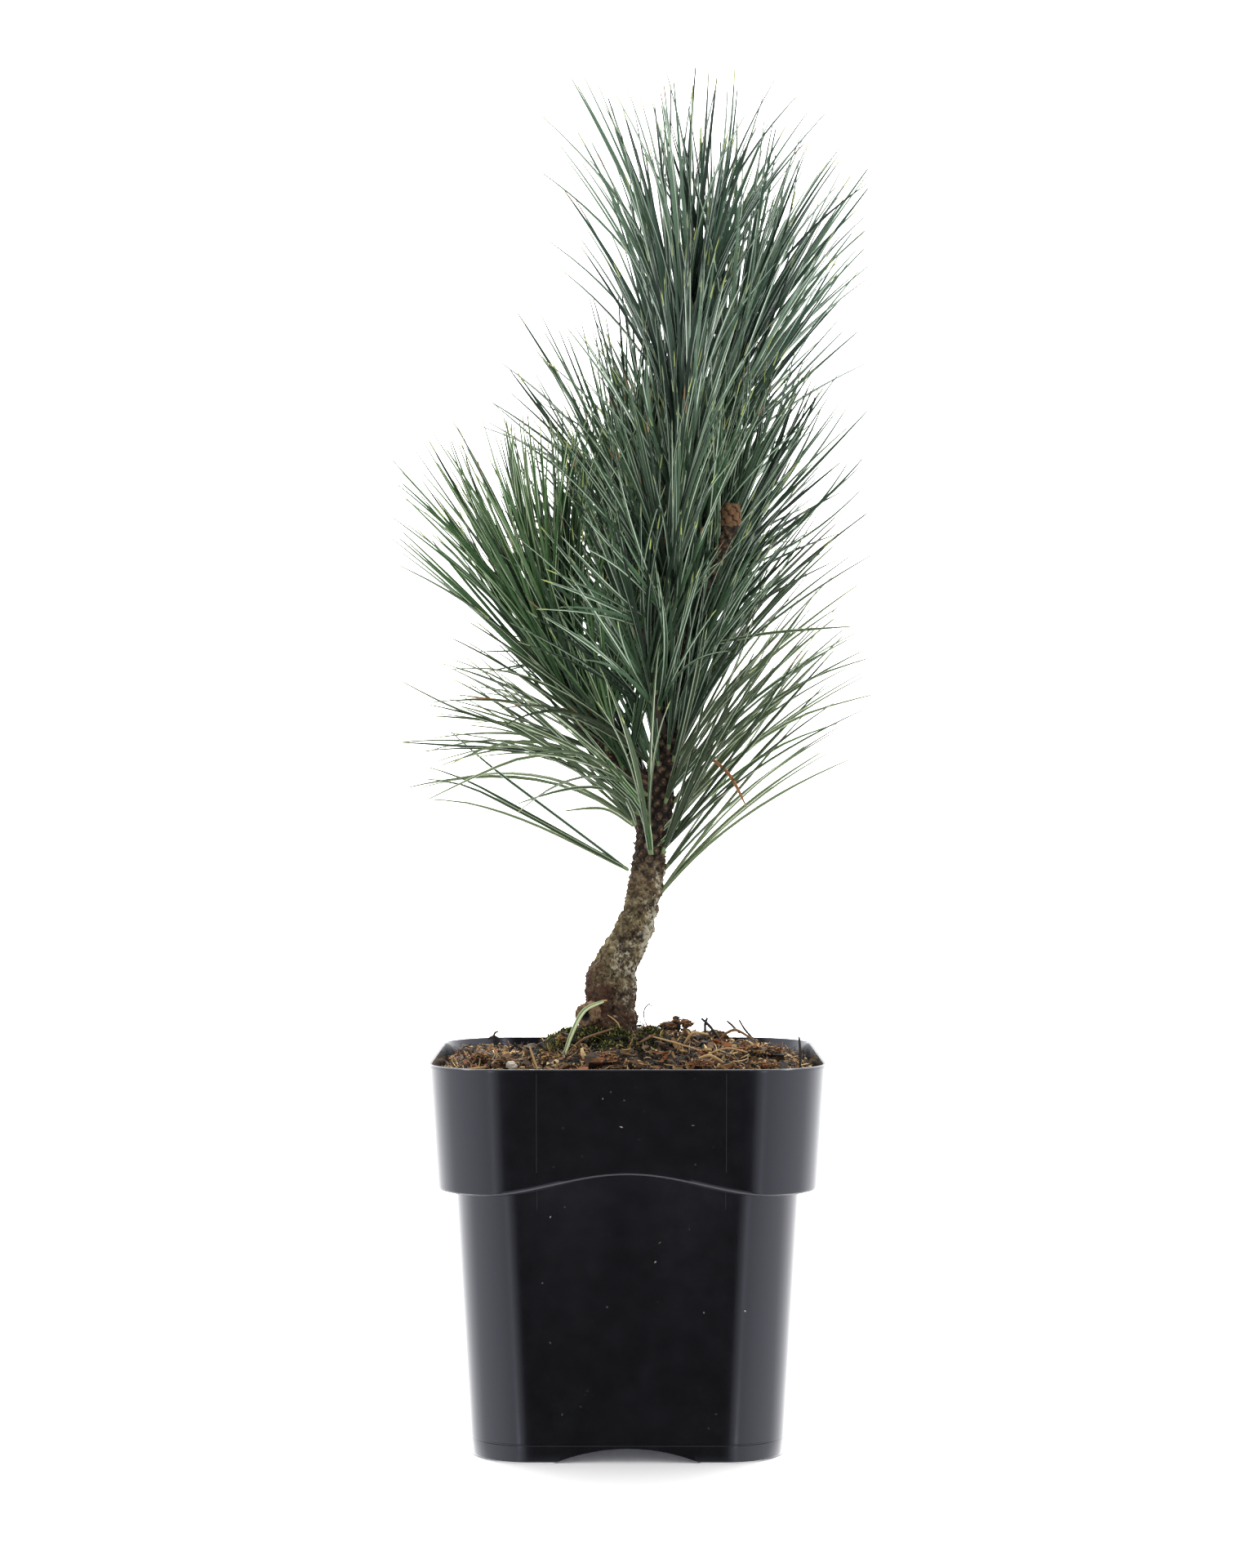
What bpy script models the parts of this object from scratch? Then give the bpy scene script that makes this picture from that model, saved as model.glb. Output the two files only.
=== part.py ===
# A young Swiss stone pine in a black square nursery pot, at its real size.
# Metres, +Z up. The origin is the middle of the pot's foot, at the level that it stands
# on, and -Y is the front. Needles are spread by a seeded rule, the same on every run.

import math
import random
from collections import namedtuple

import bmesh
import bpy
from mathutils import Matrix, Vector

MM = 0.001

# Pot: outer half widths, wall, the wavy collar, and the hollow foot
POT_HEIGHT = 129 * MM
RIM_HALF = 65.3 * MM
COLLAR_FOOT_HALF = 62.6 * MM
BODY_TOP_HALF = 57.0 * MM
BODY_FOOT_HALF = 51.6 * MM
CORNER_RADIUS = 26 * MM
FOOT_CORNER_RADIUS = 22 * MM
WALL = 1.2 * MM
COLLAR_LOW = 87.6 * MM
COLLAR_HIGH = 95.2 * MM
STEP_ROUND = 1.4 * MM
FLOOR_UNDER = 5.6 * MM
FLOOR_TOP = 7.2 * MM
RIM_BEVEL = 0.4 * MM
FOOT_BEVEL = 0.8 * MM
FOOT_BEVEL_HEIGHT = 1.2 * MM
FOOT_RING_WIDTH = 2.2 * MM
DRAFT = 0.4 * MM
PAD_RADIUS = 18 * MM
PAD_FLARE = 1 * MM
ARCH_WIDTH = 48 * MM
ARCH_HEIGHT = 4.8 * MM
DRAIN_RADIUS = 3.5 * MM
DRAIN_CIRCLE = 33 * MM
DRAINS = 8
WAVE_SPAN = 0.78
CORNER_STEPS = 6
SIDE_STEPS = 8

# Soil: its level at the wall, and the mound that rises to a flat pad under the trunk
SOIL_EDGE = 125.8 * MM
SOIL_TOP = 136 * MM
SOIL_PAD_RADIUS = 15 * MM
MOUND_RADIUS = 44 * MM
MOUND_FOOT = 1.2 * MM
MOUND_RINGS = 4
SOIL_GAP = 0.5 * MM

# Trunk stations: height, sideways place, depth and radius, in millimetres.
# The stem leans right out of its flare, straightens and runs on to the leader's tip.
TRUNK_STATIONS = (
    (136.3, -7.5, 0.0, 11.4),
    (141.0, -7.1, 0.0, 9.8),
    (147.0, -6.5, 0.1, 8.1),
    (153.0, -6.5, 0.3, 8.3),
    (159.5, -4.2, 0.4, 7.0),
    (166.0, -0.5, 0.4, 6.5),
    (172.0, 2.6, 0.2, 6.5),
    (179.5, 4.8, 0.0, 5.6),
    (187.0, 6.4, -0.2, 5.8),
    (198.0, 7.8, -0.4, 5.2),
    (210.0, 9.2, -0.4, 5.9),
    (223.0, 11.5, -0.2, 5.0),
    (237.0, 13.8, 0.0, 4.6),
    (253.0, 15.8, 0.2, 4.1),
    (275.0, 16.9, 0.2, 3.5),
    (300.0, 17.6, 0.0, 3.0),
    (325.0, 18.5, 0.0, 2.6),
    (352.0, 19.0, 0.0, 2.2),
    (376.0, 19.3, 0.0, 1.6),
    (381.0, 19.4, 0.0, 0.5),
)
TRUNK_SIDES = 12
FLARE_TOP = 150 * MM
FLARE_LOBES = 4
FLARE_DEPTH = 0.14
FLARE_TURN = 0.6

# A branch pruned off low on the front left, healed to a ring.
STUB_START = Vector((-8.0, -4.0, 143.5)) * MM
STUB_END = Vector((-11.6, -12.6, 141.2)) * MM
STUB_RADIUS = 4.1 * MM
STUB_HOLLOW = 1.7 * MM
STUB_HOLLOW_DEPTH = 2.2 * MM
STUB_SWELLS = (1.15, 1.05, 1.0, 0.78)
STUB_SIDES = 10

# Boughs with bare bark: where each leaves the trunk, the point it bows through, its tip,
# and its radius at both ends. The right one ends in a fat scaly knob.
LEFT_BOUGH_ROOT = 217 * MM
LEFT_BOUGH_BEND = Vector((-6.0, -1.5, 229.0)) * MM
LEFT_BOUGH_TIP = Vector((-15.4, -4.0, 242.0)) * MM
LEFT_BOUGH_RADII = (3.5 * MM, 2.5 * MM)
RIGHT_BOUGH_ROOT = 277 * MM
RIGHT_BOUGH_BEND = Vector((26.5, -8.0, 284.0)) * MM
RIGHT_BOUGH_TIP = Vector((34.4, -15.0, 306.5)) * MM
RIGHT_BOUGH_RADII = (2.6 * MM, 2.3 * MM)
KNOB_TIP = Vector((35.2, -15.6, 314.6)) * MM
KNOB_RADIUS = 3.2 * MM
KNOB_STEPS = ((0.25, 0.95), (0.8, 1.0), (1.0, 0.82))
BOUGH_PARTS = 7
BOUGH_SIDES = 10

# Needles of a five-needled pine: slim, three-sided, in two straight parts that make a bow.
NEEDLE_RADIUS = 0.62 * MM
NEEDLE_PARTS = 2
LENGTH_SPREAD = (0.92, 1.04)
SAG = 0.12
SAG_SPREAD = (0.4, 1.6)
BOW_SPREAD = (0.5, 1.4)
ANGLE_JITTER = 4
TURN_JITTER = 0.35
GOLDEN_ANGLE = math.radians(137.508)
TRIES = 14
SHOOT_SEED = 1
FASCICLE_SEED = 100

# Shoots that carry needles from a bare foot to their apex. Each has its root (a height on
# the trunk, or the left bough's tip), the point it bows through and its apex, the length
# of its needles, all in millimetres, how many are drawn, the angle to the shoot of its
# lowest and topmost ones in degrees, and how far they bow outwards.
Shoot = namedtuple("Shoot", "name root bend apex length wanted low top bow")
SHOOTS = (
    Shoot("needles_top", "leader", None, None, 74, 60, 29, 9, 0.30),
    Shoot("needles_top_right", 308, (28, 6, 321), (34, 9, 376), 76, 48, 34, 12, 0.50),
    Shoot("needles_middle_left", 262, (5, 6, 270), (-3, 8, 315), 79, 44, 26, 8, 0.35),
    Shoot("needles_left", "left_bough", (-20.5, -6, 253), (-25.5, -8, 270), 73, 44, 31, 8, 0.30),
    Shoot("needles_right_middle", 284, (29, 2, 292), (34, -2, 316), 72, 34, 25, 8, 0.28),
    Shoot("needles_right_low", 239, (24, 5, 250), (25.5, 8, 268), 76, 20, 36, 16, 0.25),
    Shoot("needles_front_low", 236, (8, -16, 245), (5.5, -20, 264), 76, 20, 30, 8, 0.25),
    Shoot("needles_front_middle", 262, (14, -20, 272), (13.5, -25, 296), 76, 22, 28, 8, 0.25),
    Shoot("needles_front_high", 302, (19, -16, 314), (18.5, -19, 344), 76, 22, 26, 8, 0.25),
    Shoot("needles_back_low", 236, (9, 18, 245), (6, 25, 265), 79, 20, 32, 8, 0.25),
    Shoot("needles_back_left", 254, (-2, 22, 264), (-5, 28, 286), 79, 22, 30, 8, 0.30),
    Shoot("needles_back_middle", 268, (25, 20, 280), (26, 28, 306), 79, 26, 30, 8, 0.30),
    Shoot("needles_back_high", 300, (12, 17, 314), (11, 21, 345), 79, 24, 28, 8, 0.25),
)
SHOOT_RADIUS = 2.0 * MM
SHOOT_TIP_RADIUS = 1.3 * MM
SHOOT_PARTS = 6
SHOOT_SIDES = 6
BARE_SHARE = 0.3
BARE_SHARE_AT_BOUGH = 0.06
LEAST_BOW_ANGLE = 0.15
ROOT_DEPTH = 0.4
BUTT_GAP = 0.8 * MM

# The leader's needles stand on a sleeve of bud scales round the trunk's top.
SLEEVE_FOOT = 322 * MM
SLEEVE_TOP = 384.5 * MM
SLEEVE_WALL = 1.7 * MM
SLEEVE_GAP = 0.36 * MM
SLEEVE_SHARE = 0.9
SLEEVE_DEPTH = 0.6
CROWN_BUD = Vector((0, 0, 3.5)) * MM
BUD_SHARE = 0.6

# Lone needle bundles low on the trunk: height (mm), bearing (0 right, 90 back) and rise in
# degrees, needle length (mm), and how strongly the needles bow downwards.
Fascicle = namedtuple("Fascicle", "name height bearing rise length sag")
FASCICLES = (
    Fascicle("fascicle_right_1", 183.5, -8, 46, 78, 0.10),
    Fascicle("fascicle_right_2", 191.0, 18, 56, 84, 0.08),
    Fascicle("fascicle_right_3", 199.0, -22, 50, 86, 0.16),
    Fascicle("fascicle_right_4", 207.0, 6, 48, 82, 0.20),
    Fascicle("fascicle_right_5", 214.0, -12, 52, 82, 0.28),
    Fascicle("fascicle_right_6", 222.0, 24, 50, 84, 0.18),
    Fascicle("fascicle_right_7", 230.0, -6, 54, 78, 0.25),
    Fascicle("fascicle_left_1", 191.5, 186, 44, 80, 0.75),
    Fascicle("fascicle_left_2", 206.0, 168, 48, 84, 0.80),
    Fascicle("fascicle_left_3", 211.0, 196, 46, 84, 0.95),
    Fascicle("fascicle_left_4", 215.0, 150, 44, 84, 0.62),
    Fascicle("fascicle_front_1", 199.0, 262, 64, 72, 0.25),
    Fascicle("fascicle_front_2", 214.0, 300, 58, 78, 0.30),
    Fascicle("fascicle_back_1", 201.0, 112, 50, 80, 0.45),
    Fascicle("fascicle_back_2", 213.0, 70, 46, 82, 0.45),
    Fascicle("fascicle_back_3", 222.0, 134, 48, 80, 0.40),
)
FASCICLE_NEEDLES = 4
FASCICLE_FAN = 6.5
FASCICLE_BOW = 0.25
SPUR_RADIUS = 1.3 * MM
SPUR_LENGTH = 2.6 * MM
SPUR_SUNK = 2 * MM

# How near a needle may come to its neighbours. It may cross its own shoot's needles only
# near their roots, and no other shoot's space by more than the edge.
GAP = 0.3 * MM
LIMB_GAP = 0.5 * MM
SAMPLE_STEP = 1.2 * MM
SAMPLE_SLACK = 0.28 * MM
ROOM_CELL = 3.4 * MM
ROOT_ZONE = 9 * MM
SPACE_EDGE = 5 * MM
HEART_LIFT = Vector((0, 0, 0.5))


def clear_scene():
    for item in list(bpy.data.objects):
        bpy.data.objects.remove(item)


def new_material(name, colour, roughness, metallic=0.0):
    """A plain Principled material with the part's own colour."""
    material = bpy.data.materials.new(name)
    material.use_nodes = True
    shader = material.node_tree.nodes["Principled BSDF"]
    shader.inputs["Base Color"].default_value = (*colour, 1)
    shader.inputs["Roughness"].default_value = roughness
    shader.inputs["Metallic"].default_value = metallic
    return material


def new_object(name, bm, material, collection=None):
    """Turns a bmesh into a scene object, shaded smooth with sharp edges kept."""
    bmesh.ops.recalc_face_normals(bm, faces=bm.faces[:])
    mesh = bpy.data.meshes.new(name)
    bm.to_mesh(mesh)
    bm.free()
    mesh.shade_smooth()
    mesh.set_sharp_from_angle(angle=math.radians(40))
    if material:
        mesh.materials.append(material)
    item = bpy.data.objects.new(name, mesh)
    (collection or bpy.context.scene.collection).objects.link(item)
    return item


def bridge_rings(bm, rings):
    """Quads between each ring and the next, and a flat cap at both ends."""
    made = [[bm.verts.new(point) for point in ring] for ring in rings]
    count = len(made[0])
    for lower, upper in zip(made, made[1:]):
        for i in range(count):
            j = (i + 1) % count
            bm.faces.new((lower[i], lower[j], upper[j], upper[i]))
    bm.faces.new(made[0][::-1])
    bm.faces.new(made[-1])


def apply_modifiers(item):
    """Bakes what the modifiers make into the mesh and drops them."""
    graph = bpy.context.evaluated_depsgraph_get()
    mesh = bpy.data.meshes.new_from_object(item.evaluated_get(graph))
    old = item.data
    item.modifiers.clear()
    item.data = mesh
    bpy.data.meshes.remove(old)


def subtract(item, cutters, solver="EXACT"):
    """Cuts each cutter out of the object and removes the cutters."""
    for cutter in cutters:
        cut = item.modifiers.new("cut", "BOOLEAN")
        cut.operation = "DIFFERENCE"
        cut.solver = solver
        cut.object = cutter
    apply_modifiers(item)
    for cutter in cutters:
        bpy.data.objects.remove(cutter)


def square_ring(half, corner, height):
    """One ring of a square with round corners. height may depend on the place."""
    points = []
    flat = half - corner
    for side in range(4):
        turn = Matrix.Rotation(side * math.pi / 2, 3, "Z")
        for k in range(SIDE_STEPS):
            along = -flat + 2 * flat * k / SIDE_STEPS
            points.append(turn @ Vector((along, -half, 0)))
        for k in range(CORNER_STEPS):
            angle = -math.pi / 2 + math.pi / 2 * k / CORNER_STEPS
            arc = Vector((math.cos(angle), math.sin(angle), 0)) * corner
            points.append(turn @ (Vector((flat, -flat, 0)) + arc))
    for point in points:
        point.z = height(point) if callable(height) else height
    return points


def round_ring(radius, height):
    """A circle with its points at the same bearings as a square ring's."""
    ring = square_ring(BODY_FOOT_HALF, FOOT_CORNER_RADIUS, 0.0)
    return [Vector((p.x, p.y, 0)).normalized() * radius + Vector((0, 0, height)) for p in ring]


def collar_edge(lift):
    """The collar's lower edge: low at the corners, high at the middle of each side."""

    def height(point):
        across = min(abs(point.x), abs(point.y)) / max(abs(point.x), abs(point.y))
        wave = 0.5 + 0.5 * math.cos(math.pi * min(1.0, across / WAVE_SPAN))
        return COLLAR_LOW + (COLLAR_HIGH - COLLAR_LOW) * wave + lift

    return height


def inner_rings(clear):
    """Rings of the pot's inside, drawn in by a clearance, from the floor to the rim."""
    step = STEP_ROUND + WALL
    return [
        square_ring(BODY_FOOT_HALF - WALL - clear, FOOT_CORNER_RADIUS, FLOOR_TOP + clear),
        square_ring(BODY_TOP_HALF - WALL - clear, CORNER_RADIUS - WALL, collar_edge(step / 2 + clear)),
        square_ring(COLLAR_FOOT_HALF - WALL - clear, CORNER_RADIUS - WALL, collar_edge(step + clear)),
    ]


def make_pot():
    """One moulded shell: foot ring, round pad, recessed floor, tapered body and stepped collar."""
    plastic = new_material("pot_plastic", (0.012, 0.012, 0.014), 0.32)
    bm = bmesh.new()
    ring_in = BODY_FOOT_HALF - FOOT_RING_WIDTH
    rings = [
        round_ring(PAD_RADIUS, 0.0),
        round_ring(PAD_RADIUS + PAD_FLARE, FLOOR_UNDER),
        square_ring(ring_in - DRAFT, FOOT_CORNER_RADIUS - FOOT_RING_WIDTH, FLOOR_UNDER),
        square_ring(ring_in, FOOT_CORNER_RADIUS - FOOT_RING_WIDTH, 0.0),
        square_ring(BODY_FOOT_HALF - FOOT_BEVEL, FOOT_CORNER_RADIUS - FOOT_BEVEL / 2, 0.0),
        square_ring(BODY_FOOT_HALF, FOOT_CORNER_RADIUS, FOOT_BEVEL_HEIGHT),
        square_ring(BODY_TOP_HALF, CORNER_RADIUS, collar_edge(-DRAFT / 2)),
        square_ring(COLLAR_FOOT_HALF - STEP_ROUND, CORNER_RADIUS, collar_edge(0.0)),
        square_ring(COLLAR_FOOT_HALF, CORNER_RADIUS, collar_edge(STEP_ROUND)),
        square_ring(RIM_HALF, CORNER_RADIUS, POT_HEIGHT - RIM_BEVEL),
        square_ring(RIM_HALF - RIM_BEVEL, CORNER_RADIUS, POT_HEIGHT),
        square_ring(RIM_HALF - WALL, CORNER_RADIUS - WALL, POT_HEIGHT),
    ]
    rings += reversed(inner_rings(0.0))
    bridge_rings(bm, rings)
    pot = new_object("pot", bm, plastic)
    cutters = []
    arch_radius = ((ARCH_WIDTH / 2) ** 2 + ARCH_HEIGHT**2) / (2 * ARCH_HEIGHT)
    for side in range(4):
        bm = bmesh.new()
        bmesh.ops.create_cone(
            bm, cap_ends=True, segments=96, radius1=arch_radius, radius2=arch_radius, depth=10 * MM
        )
        bm.transform(Matrix.Rotation(math.pi / 2, 4, "X"))
        bm.transform(Matrix.Translation((0, -BODY_FOOT_HALF, ARCH_HEIGHT - arch_radius)))
        bm.transform(Matrix.Rotation(side * math.pi / 2, 4, "Z"))
        cutters.append(new_object("arch", bm, None))
    for k in range(DRAINS):
        angle = 2 * math.pi * (k + 0.5) / DRAINS
        bm = bmesh.new()
        bmesh.ops.create_cone(
            bm, cap_ends=True, segments=12, radius1=DRAIN_RADIUS, radius2=DRAIN_RADIUS, depth=6 * MM
        )
        place = Vector((math.cos(angle), math.sin(angle), 0)) * DRAIN_CIRCLE
        bm.transform(Matrix.Translation(place + Vector((0, 0, FLOOR_UNDER + 1 * MM))))
        cutters.append(new_object("drain", bm, None))
    subtract(pot, cutters)


def make_soil():
    """The filled inside of the pot, with a mound that the trunk stands on."""
    earth = new_material("soil", (0.09, 0.055, 0.03), 0.95)
    bm = bmesh.new()
    rings = inner_rings(SOIL_GAP)
    share = (SOIL_EDGE - COLLAR_HIGH) / (POT_HEIGHT - COLLAR_HIGH)
    half = COLLAR_FOOT_HALF + (RIM_HALF - COLLAR_FOOT_HALF) * share - WALL - SOIL_GAP - DRAFT / 2
    rings.append(square_ring(half, CORNER_RADIUS - WALL, SOIL_EDGE))
    foot = Vector((TRUNK_STATIONS[0][1], TRUNK_STATIONS[0][2], 0)) * MM
    low = SOIL_EDGE + MOUND_FOOT
    for k in range(MOUND_RINGS + 1):
        share = k / MOUND_RINGS
        radius = MOUND_RADIUS + (SOIL_PAD_RADIUS - MOUND_RADIUS) * share
        height = low + (SOIL_TOP - low) * (0.5 - 0.5 * math.cos(math.pi * share))
        rings.append([point + foot for point in round_ring(radius, height)])
    bridge_rings(bm, rings)
    new_object("soil", bm, earth)


def between(rows, height):
    """Reads the station rows at a height in metres, with smooth passage between rows."""
    want = height / MM
    for i in range(len(rows) - 1):
        if want <= rows[i + 1][0] or i == len(rows) - 2:
            break
    before = rows[max(0, i - 1)]
    low = rows[i]
    high = rows[i + 1]
    after = rows[min(len(rows) - 1, i + 2)]
    span = high[0] - low[0]
    t = min(1.0, max(0.0, (want - low[0]) / span))
    out = []
    for column in (1, 2, 3):
        slope_low = (high[column] - before[column]) / (high[0] - before[0]) * span
        slope_high = (after[column] - low[column]) / (after[0] - low[0]) * span
        value = (
            (2 * t**3 - 3 * t**2 + 1) * low[column]
            + (t**3 - 2 * t**2 + t) * slope_low
            + (3 * t**2 - 2 * t**3) * high[column]
            + (t**3 - t**2) * slope_high
        )
        out.append(value * MM)
    return out


def trunk_centre(height):
    x, y, _ = between(TRUNK_STATIONS, height)
    return Vector((x, y, height))


def trunk_radius(height):
    return between(TRUNK_STATIONS, height)[2]


def trunk_solid(name, grow, material):
    """The trunk as level rings. grow makes it fatter all over, for a clearance."""
    bm = bmesh.new()
    rings = []
    heights = []
    for low, high in zip(TRUNK_STATIONS, TRUNK_STATIONS[1:]):
        heights += [low[0] * MM, (low[0] + high[0]) / 2 * MM]
    heights.append(TRUNK_STATIONS[-1][0] * MM)
    for height in heights:
        centre = trunk_centre(height)
        flare = max(0.0, (FLARE_TOP - height) / (FLARE_TOP - heights[0]))
        ring = []
        for k in range(TRUNK_SIDES):
            angle = 2 * math.pi * k / TRUNK_SIDES
            lobe = 1 + FLARE_DEPTH * flare * math.cos(FLARE_LOBES * angle + FLARE_TURN)
            radius = trunk_radius(height) * lobe + grow
            ring.append(centre + Vector((math.cos(angle), math.sin(angle), 0)) * radius)
        rings.append(ring)
    if grow:
        drop = Vector((0, 0, grow))
        rings[0] = [point - drop for point in rings[0]]
        rings[-1] = [point + drop for point in rings[-1]]
    bridge_rings(bm, rings)
    return new_object(name, bm, material)


def frame_along(direction):
    """Two directions square to this one and to each other."""
    along = direction.normalized()
    side = along.cross(Vector((0, 1, 0)))
    if side.length < 0.2:
        side = along.cross(Vector((1, 0, 0)))
    side.normalize()
    return side, along.cross(side)


def tube(name, points, radii, sides, material, collection=None):
    """A tapering limb through the points, with one radius at each."""
    bm = bmesh.new()
    rings = []
    for i, point in enumerate(points):
        direction = points[min(i + 1, len(points) - 1)] - points[max(i - 1, 0)]
        side, up = frame_along(direction)
        ring = []
        for k in range(sides):
            angle = 2 * math.pi * k / sides
            ring.append(point + (side * math.cos(angle) + up * math.sin(angle)) * radii[i])
        rings.append(ring)
    bridge_rings(bm, rings)
    return new_object(name, bm, material, collection)


def make_trunk(bark):
    """The whole trunk, with the ring of the pruned branch fused on."""
    trunk = trunk_solid("trunk", 0.0, bark)
    parts = len(STUB_SWELLS)
    points = [STUB_START.lerp(STUB_END, k / (parts - 1)) for k in range(parts)]
    radii = [STUB_RADIUS * swell for swell in STUB_SWELLS]
    stub = tube("stub", points, radii, STUB_SIDES, None)
    join = trunk.modifiers.new("stub", "BOOLEAN")
    join.operation = "UNION"
    join.object = stub
    apply_modifiers(trunk)
    bpy.data.objects.remove(stub)
    direction = (STUB_END - STUB_START).normalized()
    deep = [STUB_END - direction * STUB_HOLLOW_DEPTH, STUB_END + direction * STUB_HOLLOW_DEPTH]
    hollow = tube("hollow", deep, [STUB_HOLLOW * 0.6, STUB_HOLLOW * 1.2], STUB_SIDES, None)
    subtract(trunk, [hollow])


def sweep(start, bend, end, parts):
    """Points on one smooth bow from start to end, drawn towards bend."""
    points = []
    for k in range(parts + 1):
        t = k / parts
        points.append(start * (1 - t) ** 2 + bend * 2 * t * (1 - t) + end * t**2)
    return points


def bough_line(root, bend, tip, end_radii):
    """A bough's middle line and its radius at each point."""
    first, last = end_radii
    points = sweep(trunk_centre(root), bend, tip, BOUGH_PARTS)
    radii = [first + (last - first) * k / BOUGH_PARTS for k in range(BOUGH_PARTS + 1)]
    return points, radii


def make_boughs(bark):
    """Makes both boughs, cut clear of the trunk, and returns their lines and radii."""
    left = bough_line(LEFT_BOUGH_ROOT, LEFT_BOUGH_BEND, LEFT_BOUGH_TIP, LEFT_BOUGH_RADII)
    right = bough_line(RIGHT_BOUGH_ROOT, RIGHT_BOUGH_BEND, RIGHT_BOUGH_TIP, RIGHT_BOUGH_RADII)
    for share, swell in KNOB_STEPS:
        right[0].append(RIGHT_BOUGH_TIP.lerp(KNOB_TIP, share))
        right[1].append(KNOB_RADIUS * swell)
    for name, (points, radii) in (("left_bough", left), ("right_bough", right)):
        bough = tube(name, points, radii, BOUGH_SIDES, bark)
        subtract(bough, [trunk_solid("clearance", GAP, None)])
    return [left, right]


def needle_points(root, direction, bow, length):
    """A needle's middle line: it leaves along direction and turns towards bow."""
    points = [root]
    for k in range(NEEDLE_PARTS):
        t = (k + 0.5) / NEEDLE_PARTS
        points.append(points[-1] + (direction + bow * t).normalized() * (length / NEEDLE_PARTS))
    return points


def needle_solid(points, roll, collection):
    """A three-sided needle that keeps its width and ends in a point."""
    bm = bmesh.new()
    rings = []
    for i, point in enumerate(points[:-1]):
        direction = points[i + 1] - points[max(i - 1, 0)]
        side, up = frame_along(direction)
        ring = []
        for k in range(3):
            angle = roll + 2 * math.pi * k / 3
            spread = side * math.cos(angle) + up * math.sin(angle)
            ring.append(bm.verts.new(point + spread * NEEDLE_RADIUS))
        rings.append(ring)
    for lower, upper in zip(rings, rings[1:]):
        for k in range(3):
            j = (k + 1) % 3
            bm.faces.new((lower[k], lower[j], upper[j], upper[k]))
    tip = bm.verts.new(points[-1])
    for k in range(3):
        bm.faces.new((rings[-1][k], rings[-1][(k + 1) % 3], tip))
    bm.faces.new(rings[0][::-1])
    new_object("needle", bm, None, collection)


class Room:
    """Keeps samples of all that is placed, so that no needle placed later touches it."""

    def __init__(self):
        self.cells = {}

    def key(self, point):
        return tuple(int(math.floor(value / ROOM_CELL)) for value in point)

    def add(self, owner, point, radius):
        self.cells.setdefault(self.key(point), []).append((owner, point, radius))

    def add_line(self, owner, points, radius):
        for point, _ in samples(points):
            self.add(owner, point, radius)

    def touches(self, owner, point, travelled):
        """Whether a needle here would touch another shoot, or its own needles past their roots."""
        i, j, k = self.key(point)
        for a in (-1, 0, 1):
            for b in (-1, 0, 1):
                for c in (-1, 0, 1):
                    for other, place, radius in self.cells.get((i + a, j + b, k + c), ()):
                        apart = (place - point).length
                        if other != owner and apart < radius + NEEDLE_RADIUS + GAP + SAMPLE_SLACK:
                            return True
                        near_own = apart < 2 * NEEDLE_RADIUS + SAMPLE_SLACK
                        a_needle = radius == NEEDLE_RADIUS
                        if other == owner and travelled > ROOT_ZONE and near_own and a_needle:
                            return True
        return False


def samples(points):
    """Evenly spaced points along a line of points, with the length run so far."""
    out = []
    run = 0.0
    for first, second in zip(points, points[1:]):
        length = (second - first).length
        count = max(1, math.ceil(length / SAMPLE_STEP))
        for k in range(count):
            out.append((first.lerp(second, k / count), run + length * k / count))
        run += length
    out.append((points[-1], run))
    return out


def line_gap(point, line):
    """The shortest way from a point to a line of points."""
    best = 1.0
    for first, second in zip(line, line[1:]):
        along = second - first
        t = (point - first).dot(along) / max(along.length_squared, 1e-12)
        nearest = first + along * min(1.0, max(0.0, t))
        best = min(best, (point - nearest).length)
    return best


def in_limb(point, limbs):
    """Whether a needle here would touch the trunk or a bough."""
    if TRUNK_STATIONS[0][0] * MM < point.z < SLEEVE_TOP:
        reach = trunk_radius(point.z) + NEEDLE_RADIUS + LIMB_GAP
        if (point - trunk_centre(point.z)).length < reach:
            return True
    for line, radii in limbs:
        if line_gap(point, line) < max(radii) + NEEDLE_RADIUS + LIMB_GAP:
            return True
    return False


def shoot_path(shoot):
    """The shoot's middle line, from its root to its apex."""
    if shoot.root == "leader":
        top = TRUNK_STATIONS[-1][0] * MM
        heights = [SLEEVE_FOOT + (top - SLEEVE_FOOT) * k / SHOOT_PARTS for k in range(SHOOT_PARTS + 1)]
        return [trunk_centre(height) for height in heights] + [trunk_centre(top) + CROWN_BUD]
    if shoot.root == "left_bough":
        start = LEFT_BOUGH_TIP + (LEFT_BOUGH_TIP - LEFT_BOUGH_BEND).normalized() * BUTT_GAP
    else:
        start = trunk_centre(shoot.root * MM)
    return sweep(start, Vector(shoot.bend) * MM, Vector(shoot.apex) * MM, SHOOT_PARTS)


def shoot_radii(shoot, path):
    """The shoot's radius at each point: a sleeve round the leader, or a tapering twig."""
    if shoot.root == "leader":
        radii = [trunk_radius(point.z) + SLEEVE_WALL for point in path[:-1]]
        return radii + [radii[-1] * BUD_SHARE]
    taper = (SHOOT_TIP_RADIUS - SHOOT_RADIUS) / (len(path) - 1)
    return [SHOOT_RADIUS + taper * k for k in range(len(path))]


def heart_line(shoot):
    """The middle of a shoot's own space: the shoot, then on and up to its needle tips."""
    path = shoot_path(shoot)
    away = (path[-1] - path[-2]).normalized() + HEART_LIFT
    return path + [path[-1] + away.normalized() * shoot.length * MM]


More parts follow.
